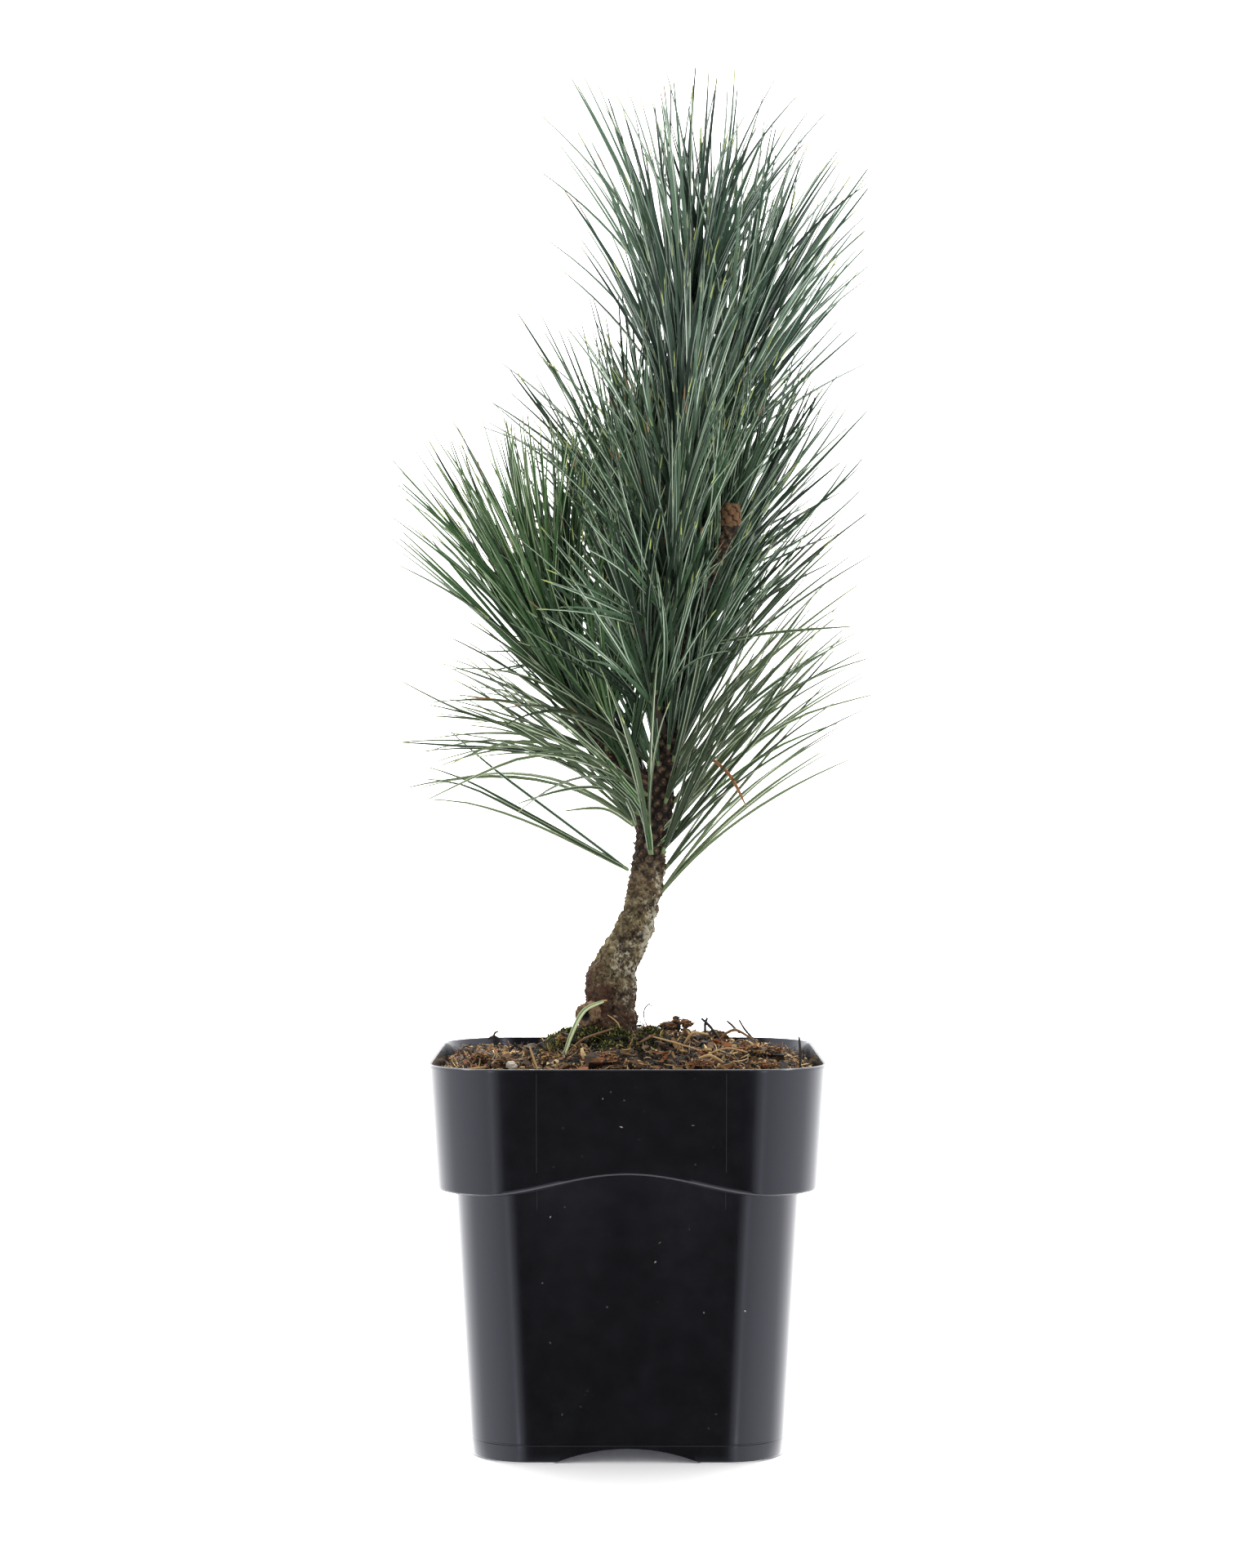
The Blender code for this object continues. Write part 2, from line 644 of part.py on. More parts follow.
def in_own_space(name, points, hearts):
    """Whether a needle stays nearer to its own shoot's middle than to any other shoot's."""
    if name not in hearts:
        return True
    for point in (points[-1], points[-2], points[-1].lerp(points[-2], 0.5)):
        own = line_gap(point, hearts[name]) - SPACE_EDGE
        if any(line_gap(point, hearts[other]) < own for other in hearts if other != name):
            return False
    return True


def keeps_clear(name, points, room, hearts, limbs):
    """Whether a needle stays in its own space and touches no limb and no other needle."""
    if not in_own_space(name, points, hearts):
        return False
    for point, travelled in samples(points):
        if travelled > ROOT_ZONE / 2 and in_limb(point, limbs):
            return False
        if room.touches(name, point, travelled):
            return False
    return True


def grow_shoot(shoot, seed, room, hearts, limbs):
    """Needles set round a shoot by the golden angle, steeper towards its apex."""
    path = shoot_path(shoot)
    radii = shoot_radii(shoot, path)
    dice = random.Random(seed)
    on_bough = not isinstance(shoot.root, int)
    first = BARE_SHARE_AT_BOUGH if on_bough else BARE_SHARE
    found = []
    for attempt in range(shoot.wanted * TRIES):
        along = first + (1 - first) * ((attempt + dice.random()) / shoot.wanted % 1.0)
        place = along * (len(path) - 1)
        k = min(int(place), len(path) - 2)
        centre = path[k].lerp(path[k + 1], place - k)
        axis = (path[k + 1] - path[k]).normalized()
        side, up = frame_along(axis)
        turn = attempt * GOLDEN_ANGLE + dice.uniform(-TURN_JITTER, TURN_JITTER)
        radial = side * math.cos(turn) + up * math.sin(turn)
        degrees = shoot.low + (shoot.top - shoot.low) * along + dice.gauss(0, ANGLE_JITTER)
        angle = math.radians(degrees)
        direction = axis * math.cos(angle) + radial * math.sin(angle)
        bow = radial * shoot.bow * 2 * math.sin(max(angle, LEAST_BOW_ANGLE)) * dice.uniform(*BOW_SPREAD)
        bow -= Vector((0, 0, SAG * dice.uniform(*SAG_SPREAD)))
        length = shoot.length * MM * dice.uniform(*LENGTH_SPREAD)
        root = centre + radial * radii[k + 1] * ROOT_DEPTH
        if shoot.root == "leader" and along < SLEEVE_SHARE:
            root = centre + radial * (trunk_radius(centre.z) + SLEEVE_WALL * SLEEVE_DEPTH)
        points = needle_points(root, direction, bow, length)
        roll = dice.uniform(0, math.pi)
        if keeps_clear(shoot.name, points, room, hearts, limbs):
            found.append((points, roll))
            room.add_line(shoot.name, points, NEEDLE_RADIUS)
        if len(found) == shoot.wanted:
            break
    return path, radii, found


def grow_fascicle(fascicle, seed, room, hearts, limbs):
    """A short spur off the bark, and a few needles fanned out of its end."""
    bearing = math.radians(fascicle.bearing)
    rise = math.radians(fascicle.rise)
    out = Vector((math.cos(bearing), math.sin(bearing), 0))
    direction = out * math.cos(rise) + Vector((0, 0, math.sin(rise)))
    height = fascicle.height * MM
    bark = trunk_centre(height) + out * trunk_radius(height)
    bow = out * FASCICLE_BOW - Vector((0, 0, fascicle.sag))
    path = [bark - direction * SPUR_SUNK, bark + direction * SPUR_LENGTH]
    radii = [SPUR_RADIUS * 1.2, SPUR_RADIUS]
    side, up = frame_along(direction)
    dice = random.Random(seed)
    found = []
    for attempt in range(FASCICLE_NEEDLES * TRIES):
        turn = attempt * math.pi / 2 + dice.uniform(-TURN_JITTER, TURN_JITTER)
        fan = math.radians(FASCICLE_FAN) * dice.uniform(0.7, 1.2)
        spread = (side * math.cos(turn) + up * math.sin(turn)) * math.tan(fan)
        length = fascicle.length * MM * dice.uniform(*LENGTH_SPREAD)
        root = bark + direction * SPUR_LENGTH * 0.75 + spread * SPUR_SUNK
        points = needle_points(root, (direction + spread).normalized(), bow, length)
        roll = dice.uniform(0, math.pi)
        if keeps_clear(fascicle.name, points, room, hearts, limbs):
            found.append((points, roll))
            room.add_line(fascicle.name, points, NEEDLE_RADIUS)
        if len(found) == FASCICLE_NEEDLES:
            break
    return path, radii, found


def keep_largest(item):
    """Drops loose scraps and fills sealed hollows, so that one closed body is left."""
    bm = bmesh.new()
    bm.from_mesh(item.data)
    bmesh.ops.triangulate(bm, faces=bm.faces[:])
    bm.faces.ensure_lookup_table()
    seen = set()
    islands = []
    for face in bm.faces:
        if face in seen:
            continue
        seen.add(face)
        island = []
        queue = [face]
        while queue:
            current = queue.pop()
            island.append(current)
            for edge in current.edges:
                for other in edge.link_faces:
                    if other not in seen:
                        seen.add(other)
                        queue.append(other)
        volume = 0.0
        for one in island:
            a, b, c = (vert.co for vert in one.verts)
            volume += a.dot(b.cross(c)) / 6
        islands.append((volume, island))
    largest = max(islands, key=lambda pair: pair[0])[1]
    kept = set(largest)
    spare = [face for face in bm.faces if face not in kept]
    bmesh.ops.delete(bm, geom=spare, context="FACES")
    bm.to_mesh(item.data)
    bm.free()


def fuse(name, path, radii, needles, material):
    """Joins a shoot and its needles into one body, cut clear of the trunk."""
    pieces = bpy.data.collections.new(name + "_pieces")
    bpy.context.scene.collection.children.link(pieces)
    mass = tube(name, path, radii, SHOOT_SIDES, material)
    for points, roll in needles:
        needle_solid(points, roll, pieces)
    join = mass.modifiers.new("needles", "BOOLEAN")
    join.operation = "UNION"
    join.solver = "MANIFOLD"
    join.operand_type = "COLLECTION"
    join.collection = pieces
    apply_modifiers(mass)
    for piece in list(pieces.objects):
        bpy.data.objects.remove(piece)
    bpy.data.collections.remove(pieces)
    subtract(mass, [trunk_solid("clearance", SLEEVE_GAP, None)], "MANIFOLD")
    keep_largest(mass)


def main():
    clear_scene()
    bark = new_material("bark", (0.13, 0.085, 0.055), 0.9)
    foliage = new_material("needles", (0.055, 0.12, 0.09), 0.45)
    make_pot()
    make_soil()
    make_trunk(bark)
    limbs = make_boughs(bark)
    hearts = {shoot.name: heart_line(shoot) for shoot in SHOOTS}
    room = Room()
    for shoot in SHOOTS:
        room.add_line(shoot.name, shoot_path(shoot)[1:], SHOOT_RADIUS)
    grown = []
    for seed, fascicle in enumerate(FASCICLES, FASCICLE_SEED):
        grown.append((fascicle.name, *grow_fascicle(fascicle, seed, room, hearts, limbs)))
    for seed, shoot in enumerate(SHOOTS, SHOOT_SEED):
        grown.append((shoot.name, *grow_shoot(shoot, seed, room, hearts, limbs)))
    for name, path, radii, needles in grown:
        fuse(name, path, radii, needles, foliage)


main()
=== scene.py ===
# A young blue Swiss stone pine in its square nursery pot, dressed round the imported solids.
# Metres, +Z up, the middle of the pot's foot at the origin, the pot's front towards -Y.
import math
import random

import bmesh
import bpy
from mathutils import Matrix, Vector, noise


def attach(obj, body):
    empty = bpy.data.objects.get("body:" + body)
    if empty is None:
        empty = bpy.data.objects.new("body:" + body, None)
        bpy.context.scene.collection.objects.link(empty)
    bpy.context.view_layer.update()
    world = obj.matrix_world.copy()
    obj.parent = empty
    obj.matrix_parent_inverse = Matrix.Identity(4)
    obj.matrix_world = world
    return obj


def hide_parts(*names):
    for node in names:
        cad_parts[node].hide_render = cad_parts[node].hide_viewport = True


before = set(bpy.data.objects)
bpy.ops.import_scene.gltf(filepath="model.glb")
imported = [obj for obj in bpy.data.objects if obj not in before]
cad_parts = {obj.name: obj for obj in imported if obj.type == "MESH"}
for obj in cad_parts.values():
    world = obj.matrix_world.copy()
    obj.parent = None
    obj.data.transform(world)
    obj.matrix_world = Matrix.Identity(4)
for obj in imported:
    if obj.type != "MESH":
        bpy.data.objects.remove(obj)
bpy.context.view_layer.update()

bpy.ops.object.select_all(action="DESELECT")

# The pot is one injection moulding in black polypropylene: a tapered square body, and a
# deep collar round its top that is stepped out so that pots stack. The collar's lower
# edge rises in a wave at the middle of each side. It stands on a narrow foot ring.
MM = 0.001
COLLAR_LOW = 87.6
COLLAR_HIGH = 94.6
WAVE_SPAN = 0.78
FOOT_CORNER = 18.4 * MM
CORNER_STEPS = 14
SIDE_STEPS = 32
# Half width and height of each ring in millimetres: up the outside and down the inside.
POT_ROWS = (
    (49.0, 5.6), (49.3, 0.4), (49.7, 0.0), (50.7, 0.0), (51.3, 0.25), (51.6, 0.9),
    (51.86, 5.6), (51.72, 5.75), (51.76, 6.15), (51.93, 6.3), (56.9, 87.2), (57.05, 87.55),
    (57.5, 87.6), (60.9, 87.62), (61.8, 87.85), (62.4, 88.4), (62.62, 89.3), (65.1, 127.6),
    (65.3, 128.2), (65.28, 128.65), (65.0, 128.95), (64.6, 129.0), (64.25, 128.85),
    (64.1, 128.4), (61.4, 99.0), (55.8, 96.0), (50.4, 7.2),
)
ARCH_WIDTH = 48 * MM
ARCH_HEIGHT = 4.8 * MM
PAD_RADIUS = 18 * MM
FLOOR_MIDDLE = 6.4 * MM
DRAIN_RADIUS = 3.5 * MM
DRAIN_CIRCLE = 33 * MM
DRAINS = 8
RIM_WEAR_AND_HIGHLIGHT_FROM = 128.85 * MM


def linear(hex_colour):
    """An sRGB hex colour as linear values with alpha."""
    out = []
    for k in (0, 2, 4):
        value = int(hex_colour[k : k + 2], 16) / 255
        out.append(value / 12.92 if value <= 0.04045 else ((value + 0.055) / 1.055) ** 2.4)
    return (*out, 1.0)


def add_node(tree, kind, settings=None, links=None):
    """Adds one node, with its settings and the links into its sockets."""
    node = tree.nodes.new(kind)
    for name, value in (settings or {}).items():
        if isinstance(name, str) and hasattr(node, name):
            setattr(node, name, value)
        else:
            node.inputs[name].default_value = value
    for name, source in (links or {}).items():
        tree.links.new(source, node.inputs[name])
    return node


def new_material(name, colour, roughness):
    """A Principled material, its tree, its shader and its object coordinates."""
    material = bpy.data.materials.new(name)
    material.use_nodes = True
    tree = material.node_tree
    shader = tree.nodes["Principled BSDF"]
    shader.inputs["Base Color"].default_value = linear(colour)
    shader.inputs["Roughness"].default_value = roughness
    return material, tree, shader


def pick(piece, kind, test):
    """In edit mode, selects only the vertices, edges or faces that pass a test."""
    bpy.ops.object.mode_set(mode="EDIT")
    bpy.ops.mesh.select_mode(type=kind)
    bpy.ops.mesh.select_all(action="DESELECT")
    shape = bmesh.from_edit_mesh(piece.data)
    groups = {"VERT": shape.verts, "EDGE": shape.edges, "FACE": shape.faces}
    for element in groups[kind]:
        if test(element):
            element.select_set(True)
    bmesh.update_edit_mesh(piece.data)


def start_piece(name):
    """Names the primitive just added and applies its place, turn and size."""
    piece = bpy.context.object
    piece.name = name
    bpy.ops.object.transform_apply(location=True, rotation=True, scale=True)
    return piece


def boolean(piece, operation, other):
    """Joins or cuts a piece with another one, which is then removed."""
    change = piece.modifiers.new(operation, "BOOLEAN")
    change.operation = operation
    change.object = other
    bpy.ops.object.select_all(action="DESELECT")
    bpy.context.view_layer.objects.active = piece
    piece.select_set(True)
    bpy.ops.object.modifier_apply(modifier=change.name)
    bpy.data.objects.remove(other)


def finish_piece(piece, angle, material=None):
    """Shades a piece smooth below an angle, and makes it ride with the plant."""
    bpy.ops.object.select_all(action="DESELECT")
    bpy.context.view_layer.objects.active = piece
    piece.select_set(True)
    bpy.ops.object.shade_smooth_by_angle(angle=math.radians(angle))
    piece.select_set(False)
    if material:
        piece.data.materials.clear()
        piece.data.materials.append(material)
    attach(piece, "root")


def collar_wave(x, y):
    """How far the collar's lower edge is lifted at a place, in metres."""
    across = min(abs(x), abs(y)) / max(abs(x), abs(y), 1e-6)
    wave = 0.5 + 0.5 * math.cos(math.pi * min(1.0, across / WAVE_SPAN))
    return (COLLAR_HIGH - COLLAR_LOW) * wave * MM


first_half, first_height = POT_ROWS[0]
bpy.ops.mesh.primitive_plane_add(size=2 * first_half * MM, location=(0, 0, first_height * MM))
pot = start_piece("moulded_pot")
bpy.ops.object.mode_set(mode="EDIT")
bpy.ops.mesh.bevel(offset=FOOT_CORNER, segments=CORNER_STEPS, affect="VERTICES")
bpy.ops.mesh.delete(type="ONLY_FACE")
pick(pot, "EDGE", lambda edge: edge.calc_length() > 20 * MM)
bpy.ops.mesh.subdivide(number_cuts=SIDE_STEPS - 1)
bpy.ops.mesh.select_all(action="SELECT")
for (half_before, height_before), (half, height) in zip(POT_ROWS, POT_ROWS[1:]):
    rise = (height - height_before) * MM
    bpy.ops.mesh.extrude_region_move(TRANSFORM_OT_translate={"value": (0, 0, rise)})
    share = half / half_before
    bpy.ops.transform.resize(value=(share, share, 1))
for end in (POT_ROWS[0][1], POT_ROWS[-1][1]):
    pick(pot, "EDGE", lambda edge: edge.is_boundary and abs(edge.verts[0].co.z - end * MM) < 0.1 * MM)
    bpy.ops.mesh.edge_face_add()
bpy.ops.mesh.select_all(action="SELECT")
bpy.ops.mesh.normals_make_consistent(inside=False)
bpy.ops.object.mode_set(mode="OBJECT")
for vertex in pot.data.vertices:
    if (COLLAR_LOW - 0.5) * MM < vertex.co.z < (COLLAR_LOW + 2) * MM:
        vertex.co.z += collar_wave(vertex.co.x, vertex.co.y)

bpy.ops.mesh.primitive_cylinder_add(
    vertices=48, radius=PAD_RADIUS, depth=FLOOR_MIDDLE, location=(0, 0, FLOOR_MIDDLE / 2)
)
pad = start_piece("pad")
bpy.ops.object.mode_set(mode="EDIT")
pick(pad, "EDGE", lambda edge: max(vertex.co.z for vertex in edge.verts) < 0.1 * MM)
bpy.ops.mesh.bevel(offset=0.5 * MM, segments=2)
bpy.ops.object.mode_set(mode="OBJECT")
boolean(pot, "UNION", pad)
arch_radius = ((ARCH_WIDTH / 2) ** 2 + ARCH_HEIGHT**2) / (2 * ARCH_HEIGHT)
for turn, place in (("Y", (51, 0)), ("Y", (-51, 0)), ("X", (0, 51)), ("X", (0, -51))):
    bpy.ops.mesh.primitive_cylinder_add(
        vertices=160,
        radius=arch_radius,
        depth=10 * MM,
        location=(place[0] * MM, place[1] * MM, ARCH_HEIGHT - arch_radius),
        rotation=(math.pi / 2, 0, 0) if turn == "X" else (0, math.pi / 2, 0),
    )
    boolean(pot, "DIFFERENCE", start_piece("arch"))
for k in range(DRAINS):
    angle = 2 * math.pi * (k + 0.5) / DRAINS
    bpy.ops.mesh.primitive_cylinder_add(
        vertices=24,
        radius=DRAIN_RADIUS,
        depth=6 * MM,
        location=(DRAIN_CIRCLE * math.cos(angle), DRAIN_CIRCLE * math.sin(angle), FLOOR_MIDDLE),
    )
    boolean(pot, "DIFFERENCE", start_piece("drain"))

# Black polypropylene off a polished mould: near black, glossy at a glancing look, with a
# faint film of dust and handling scuffs that only change how sharp the reflections are.
plastic, tree, shader = new_material("black_polypropylene", "08080a", 0.2)
shader.inputs["IOR"].default_value = 1.49
shader.inputs["Specular IOR Level"].default_value = 0.68
shader.inputs["Specular Tint"].default_value = linear("e3e6f8")
place = add_node(tree, "ShaderNodeTexCoord").outputs["Object"]
film = add_node(tree, "ShaderNodeTexNoise", {"Scale": 1 / (18 * MM), "Detail": 6.0}, {"Vector": place})
film_mix = add_node(tree, "ShaderNodeMix", {"data_type": "RGBA"}, {0: film.outputs["Fac"]})
film_mix.inputs[6].default_value = linear("030304")
film_mix.inputs[7].default_value = linear("070709")
tree.links.new(film_mix.outputs[2], shader.inputs["Base Color"])
scuffs = add_node(tree, "ShaderNodeTexNoise", {"Scale": 1 / (7 * MM), "Detail": 8.0}, {"Vector": place})
gloss = add_node(
    tree,
    "ShaderNodeMapRange",
    {"From Min": 0.35, "From Max": 0.7, "To Min": 0.18, "To Max": 0.21},
    {"Value": scuffs.outputs["Fac"]},
)
tree.links.new(gloss.outputs[0], shader.inputs["Roughness"])
ripple = add_node(tree, "ShaderNodeTexNoise", {"Scale": 1 / (5 * MM), "Detail": 2.0}, {"Vector": place})
bump = add_node(
    tree, "ShaderNodeBump", {"Strength": 0.05, "Distance": 0.0001}, {"Height": ripple.outputs["Fac"]}
)
tree.links.new(bump.outputs[0], shader.inputs["Normal"])
# The same plastic, grey on the rim from handling wear with a painted highlight, and grey on the round of the collar's
# lower edge as a painted highlight.
rim_wear_and_highlight, tree, shader = new_material("worn_rim_with_painted_highlight", "55555a", 0.5)
collar_edge_highlight, tree, shader = new_material("painted_highlight_collar_edge", "38383d", 0.45)
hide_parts("pot")
finish_piece(pot, 32, plastic)
pot.data.materials.append(rim_wear_and_highlight)
pot.data.materials.append(collar_edge_highlight)
# The rim's top takes the grey of wear and painted highlight; the downward round of the collar's lower edge takes a
# painted highlight.
for face in pot.data.polygons:
    if face.center.z > RIM_WEAR_AND_HIGHLIGHT_FROM:
        face.material_index = 1
    elif -0.9 < face.normal.z < -0.5 and face.center.z > COLLAR_LOW * MM:
        face.material_index = 2

# Fine flash lines stand on the pot's front and back where the mould's slides met. Each is
# a raised hair of the same plastic, down the collar and a little way down the body.
FLASH_PLACES = (-29.2, 31.7)
FLASH_WIDTH = 0.26 * MM
FLASH_PROUD = 0.06 * MM
FLASH_RUNS = (((65.12, 127.8), (63.05, 95.8)), ((57.0, 91.5), (56.62, 83.2)))
flash_lines = []
for side in (-1, 1):
    for across in FLASH_PLACES:
        for (half_top, top), (half_foot, foot) in FLASH_RUNS:
            bpy.ops.mesh.primitive_cube_add(size=1)
            line = start_piece("flash_line")
            for vertex in line.data.vertices:
                half, height = (half_top, top) if vertex.co.z > 0 else (half_foot, foot)
                proud = FLASH_PROUD if vertex.co.y > 0 else -0.3 * MM
                width = FLASH_WIDTH * (0.4 if vertex.co.y > 0 else 1.0)
                along = side * (vertex.co.x * width - across * MM)
                vertex.co = Vector((-along, -side * (half * MM + proud), height * MM))
            flash_lines.append(line)
for line in flash_lines:
    line.select_set(True)
bpy.context.view_layer.objects.active = flash_lines[0]
bpy.ops.object.join()
flash = bpy.context.object
flash.name = "flash_lines"
# The torn edge of the flash is a little greyer than the polished wall.
torn_edge, tree, shader = new_material("torn_flash", "121214", 0.5)
finish_piece(flash, 30, torn_edge)

# Dry crumbs of mulch and dust that cling to the pot's walls, and one dark barb of spilt
# peat that hangs under the collar at the left. Each is a small closed grain.
GRAIN_TINTS = ("8b857b", "6b5d49", "4a4034", "b3aea6")
GRAINS = 110
FRONT_GRAINS = ((9.0, 66.0, 0.5), (-25.0, 39.6, 0.45), (10.4, 72.3, 0.4), (-2.0, 110.5, 0.3), (21.0, 111.0, 0.3), (38.0, 50.0, 0.4))


def joined_mesh(name, points, faces, tints, materials):
    """One object from arrays of points and faces, with a material slot for each face."""
    mesh = bpy.data.meshes.new(name)
    mesh.from_pydata([tuple(point) for point in points], [], faces)
    mesh.validate()
    for material in materials:
        mesh.materials.append(material)
    mesh.polygons.foreach_set("material_index", tints)
    piece = bpy.data.objects.new(name, mesh)
    bpy.context.scene.collection.objects.link(piece)
    return piece


def add_shape(store, points, faces, tint):
    """Adds one small shape to a store of points, faces and tints."""
    first = len(store[0])
    store[0].extend(points)
    store[1].extend([tuple(first + index for index in face) for face in faces])
    store[2].extend([tint] * len(faces))


def wall_half(height):
    """The pot's half width outside at a height in millimetres."""
    for (low_half, low), (high_half, high) in zip(POT_ROWS[9:18], POT_ROWS[10:18]):
        if low <= height <= high:
            return low_half + (high_half - low_half) * (height - low) / max(high - low, 1e-6)
    return POT_ROWS[9][0]


dice = random.Random(2)
grain_materials = []
for number, tint in enumerate(GRAIN_TINTS):
    material, tree, shader = new_material(f"dust_grain_{number}", tint, 0.9)
    grain_materials.append(material)
grain_places = [(0, x, z, size) for x, z, size in FRONT_GRAINS]
for _ in range(GRAINS):
    height = dice.choice((dice.uniform(8, 84), dice.uniform(97, 127)))
    grain_places.append((dice.randrange(4), dice.uniform(-30, 30), height, dice.uniform(0.08, 0.26)))
grain_store = ([], [], [])
for quarter, across, height, size in grain_places:
    turn = Matrix.Rotation(quarter * math.pi / 2, 3, "Z")
    middle = Vector((across, -wall_half(height), height)) * MM
    long = size * dice.uniform(0.8, 2.2) * MM
    slant = Matrix.Rotation(dice.uniform(0, math.pi), 3, "Y")
    corners = []
    for along, up, out in ((-1, 0, 0), (0, -0.5, 0), (1, 0, 0), (0, 0.5, 0), (0, 0, -0.6), (0, 0, 0.4)):
        corners.append(turn @ (middle + slant @ Vector((along * long, out * size * MM, up * size * MM))))
    faces = [(0, 1, 4), (1, 2, 4), (2, 3, 4), (3, 0, 4), (1, 0, 5), (2, 1, 5), (3, 2, 5), (0, 3, 5)]
    add_shape(grain_store, corners, faces, dice.randrange(4))
barb = Vector((-56.9, -16.0, 85.6)) * MM
spread = [Vector(way) * MM for way in ((-0.9, 0, 2.2), (0.9, 0.6, 2.0), (0.6, -0.9, 2.1), (-0.5, 0.2, -1.4))]
add_shape(grain_store, [barb + way for way in spread], [(0, 2, 1), (0, 1, 3), (1, 2, 3), (2, 0, 3)], 2)
grains = joined_mesh("dust_grains", *grain_store, grain_materials)
finish_piece(grains, 30)

# The potting mix: peat and bark fines, filled to just under the rim and mounded up to the
# stem. Its skin is lumpy, and everything loose lies on it as pieces of their own.
SOIL_HALF = 63.2 * MM
SOIL_CORNER = 25 * MM
SOIL_LEVEL = 124.0
MOUND_RISE = 12.6
MOUND_CENTRE = Vector((-8.5, 0.0))
MOUND_REACH = {"left": 38, "right": 78, "side": 56}
SOIL_CELLS = 150


def inside_square(x, y, half, corner):
    """How far a place lies inside a square with round corners, in metres."""
    across = Vector((max(abs(x) - half + corner, 0.0), max(abs(y) - half + corner, 0.0)))
    if across.x > 0 and across.y > 0:
        return corner - across.length
    return half - max(abs(x), abs(y))


def ground(x, y):
    """The height of the potting mix at a place, in metres."""
    offset = Vector((x / MM, y / MM)) - MOUND_CENTRE
    wide = MOUND_REACH["right"] if offset.x > 0 else MOUND_REACH["left"]
    away = min(1.0, math.hypot(offset.x / wide, offset.y / MOUND_REACH["side"]))
    slope = 0.5 + 0.5 * math.cos(math.pi * away)
    height = SOIL_LEVEL + MOUND_RISE * slope ** (0.8 if offset.x > 0 else 0.95)
    height += 1.5 * noise.noise(Vector((x, y, 0.0)) * 130) + 0.8 * noise.noise(Vector((x, y, 1.0)) * 400)
    wall = inside_square(x, y, SOIL_HALF, SOIL_CORNER)
    return (height - 1.5 * max(0.0, 1 - wall / (4 * MM))) * MM


bpy.ops.mesh.primitive_grid_add(x_subdivisions=SOIL_CELLS, y_subdivisions=SOIL_CELLS, size=2 * SOIL_HALF)
soil = start_piece("potting_mix")
for vertex in soil.data.vertices:
    x, y = vertex.co.x, vertex.co.y
    big = max(abs(x), abs(y), 1e-9)
    direction = Vector((x, y)).normalized()
    low, high = 0.0, 1.5 * SOIL_HALF
    for _ in range(24):
        middle = (low + high) / 2
        if inside_square(direction.x * middle, direction.y * middle, SOIL_HALF, SOIL_CORNER) > 0:
            low = middle
        else:
            high = middle
    place = direction * low * (big / SOIL_HALF)
    vertex.co = Vector((place.x, place.y, ground(place.x, place.y)))
pick(soil, "EDGE", lambda edge: edge.is_boundary)
bpy.ops.mesh.extrude_region_move(TRANSFORM_OT_translate={"value": (0, 0, -10 * MM)})
bpy.ops.transform.resize(value=(0.975, 0.975, 0))
bpy.ops.mesh.select_mode(type="EDGE")
bpy.ops.mesh.edge_face_add()
bpy.ops.object.mode_set(mode="OBJECT")
# Moist peat with bark fines, brown on the crumbs; the near black between them, where the bump sinks, is painted shade.
peat, tree, shader = new_material("moist_peat", "2a2018", 0.95)
place = add_node(tree, "ShaderNodeTexCoord").outputs["Object"]
crumbs = add_node(tree, "ShaderNodeTexVoronoi", {"Scale": 520.0}, {"Vector": place})
patches = add_node(tree, "ShaderNodeTexNoise", {"Scale": 90.0, "Detail": 6.0}, {"Vector": place})
# Painted shade: the colour darkens towards the cell edges, which the bump makes the hollows.
ramp = add_node(tree, "ShaderNodeValToRGB", None, {"Fac": crumbs.outputs["Distance"]})
ramp.color_ramp.elements[0].color = linear("2a2017")
ramp.color_ramp.elements[1].color = linear("0b0805")
ramp.color_ramp.elements[1].position = 0.7
earth_mix = add_node(tree, "ShaderNodeMix", {"data_type": "RGBA"}, {0: patches.outputs["Fac"], 6: ramp.outputs[0]})
earth_mix.inputs[7].default_value = linear("140f0a")
tree.links.new(earth_mix.outputs[2], shader.inputs["Base Color"])
bump = add_node(
    tree, "ShaderNodeBump", {"Strength": 0.8, "Distance": 0.0006, "invert": True}, {"Height": crumbs.outputs["Distance"]}
)
tree.links.new(bump.outputs[0], shader.inputs["Normal"])
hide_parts("soil")
finish_piece(soil, 60, peat)

# The mulch on top: composted pine bark, with flat chips, crumbs and torn fibres. They are
# many small closed shapes, scattered by a seeded rule and joined by kind.
CHIP_TINTS = ("1b130c", "33261a", "553c25", "7c5c38", "9d7f52", "c4aa7a", "7f4a26", "0b0805")


def prism(outline, thickness):
    """A flat chip: an outline given some thickness, with its lower face a little smaller."""
    count = len(outline)
    points = [Vector((x, y, thickness / 2)) for x, y in outline]
    points += [Vector((x * 0.86, y * 0.86, -thickness / 2)) for x, y in outline]
    faces = [tuple(range(count)), tuple(range(2 * count - 1, count - 1, -1))]
    faces += [(i, i + count, (i + 1) % count + count, (i + 1) % count) for i in range(count)]
    return points, faces


def ribbon(length, width, thickness, curl, parts):
    """A fibre or a curled shaving: a strip of four sides that bends by curl radians."""
    points, faces = [], []
    place, heading = Vector((-length / 2, 0, 0)), -curl / 2
    for k in range(parts + 1):
        taper = 0.45 + 0.55 * math.sin(math.pi * (k + 0.35) / (parts + 0.7))
        up = Vector((-math.sin(heading), 0, math.cos(heading))) * thickness / 2 * taper
        side = Vector((0, width / 2 * taper, 0))
        points += [place + up + side, place + up - side, place - up - side, place - up + side]
        heading += curl / parts
        place = place + Vector((math.cos(heading), 0, math.sin(heading))) * length / parts
    for k in range(parts):
        for i in range(4):
            j = (i + 1) % 4
            faces.append((4 * k + i, 4 * k + j, 4 * k + 4 + j, 4 * k + 4 + i))
    faces += [(3, 2, 1, 0), (4 * parts, 4 * parts + 1, 4 * parts + 2, 4 * parts + 3)]
    return points, faces


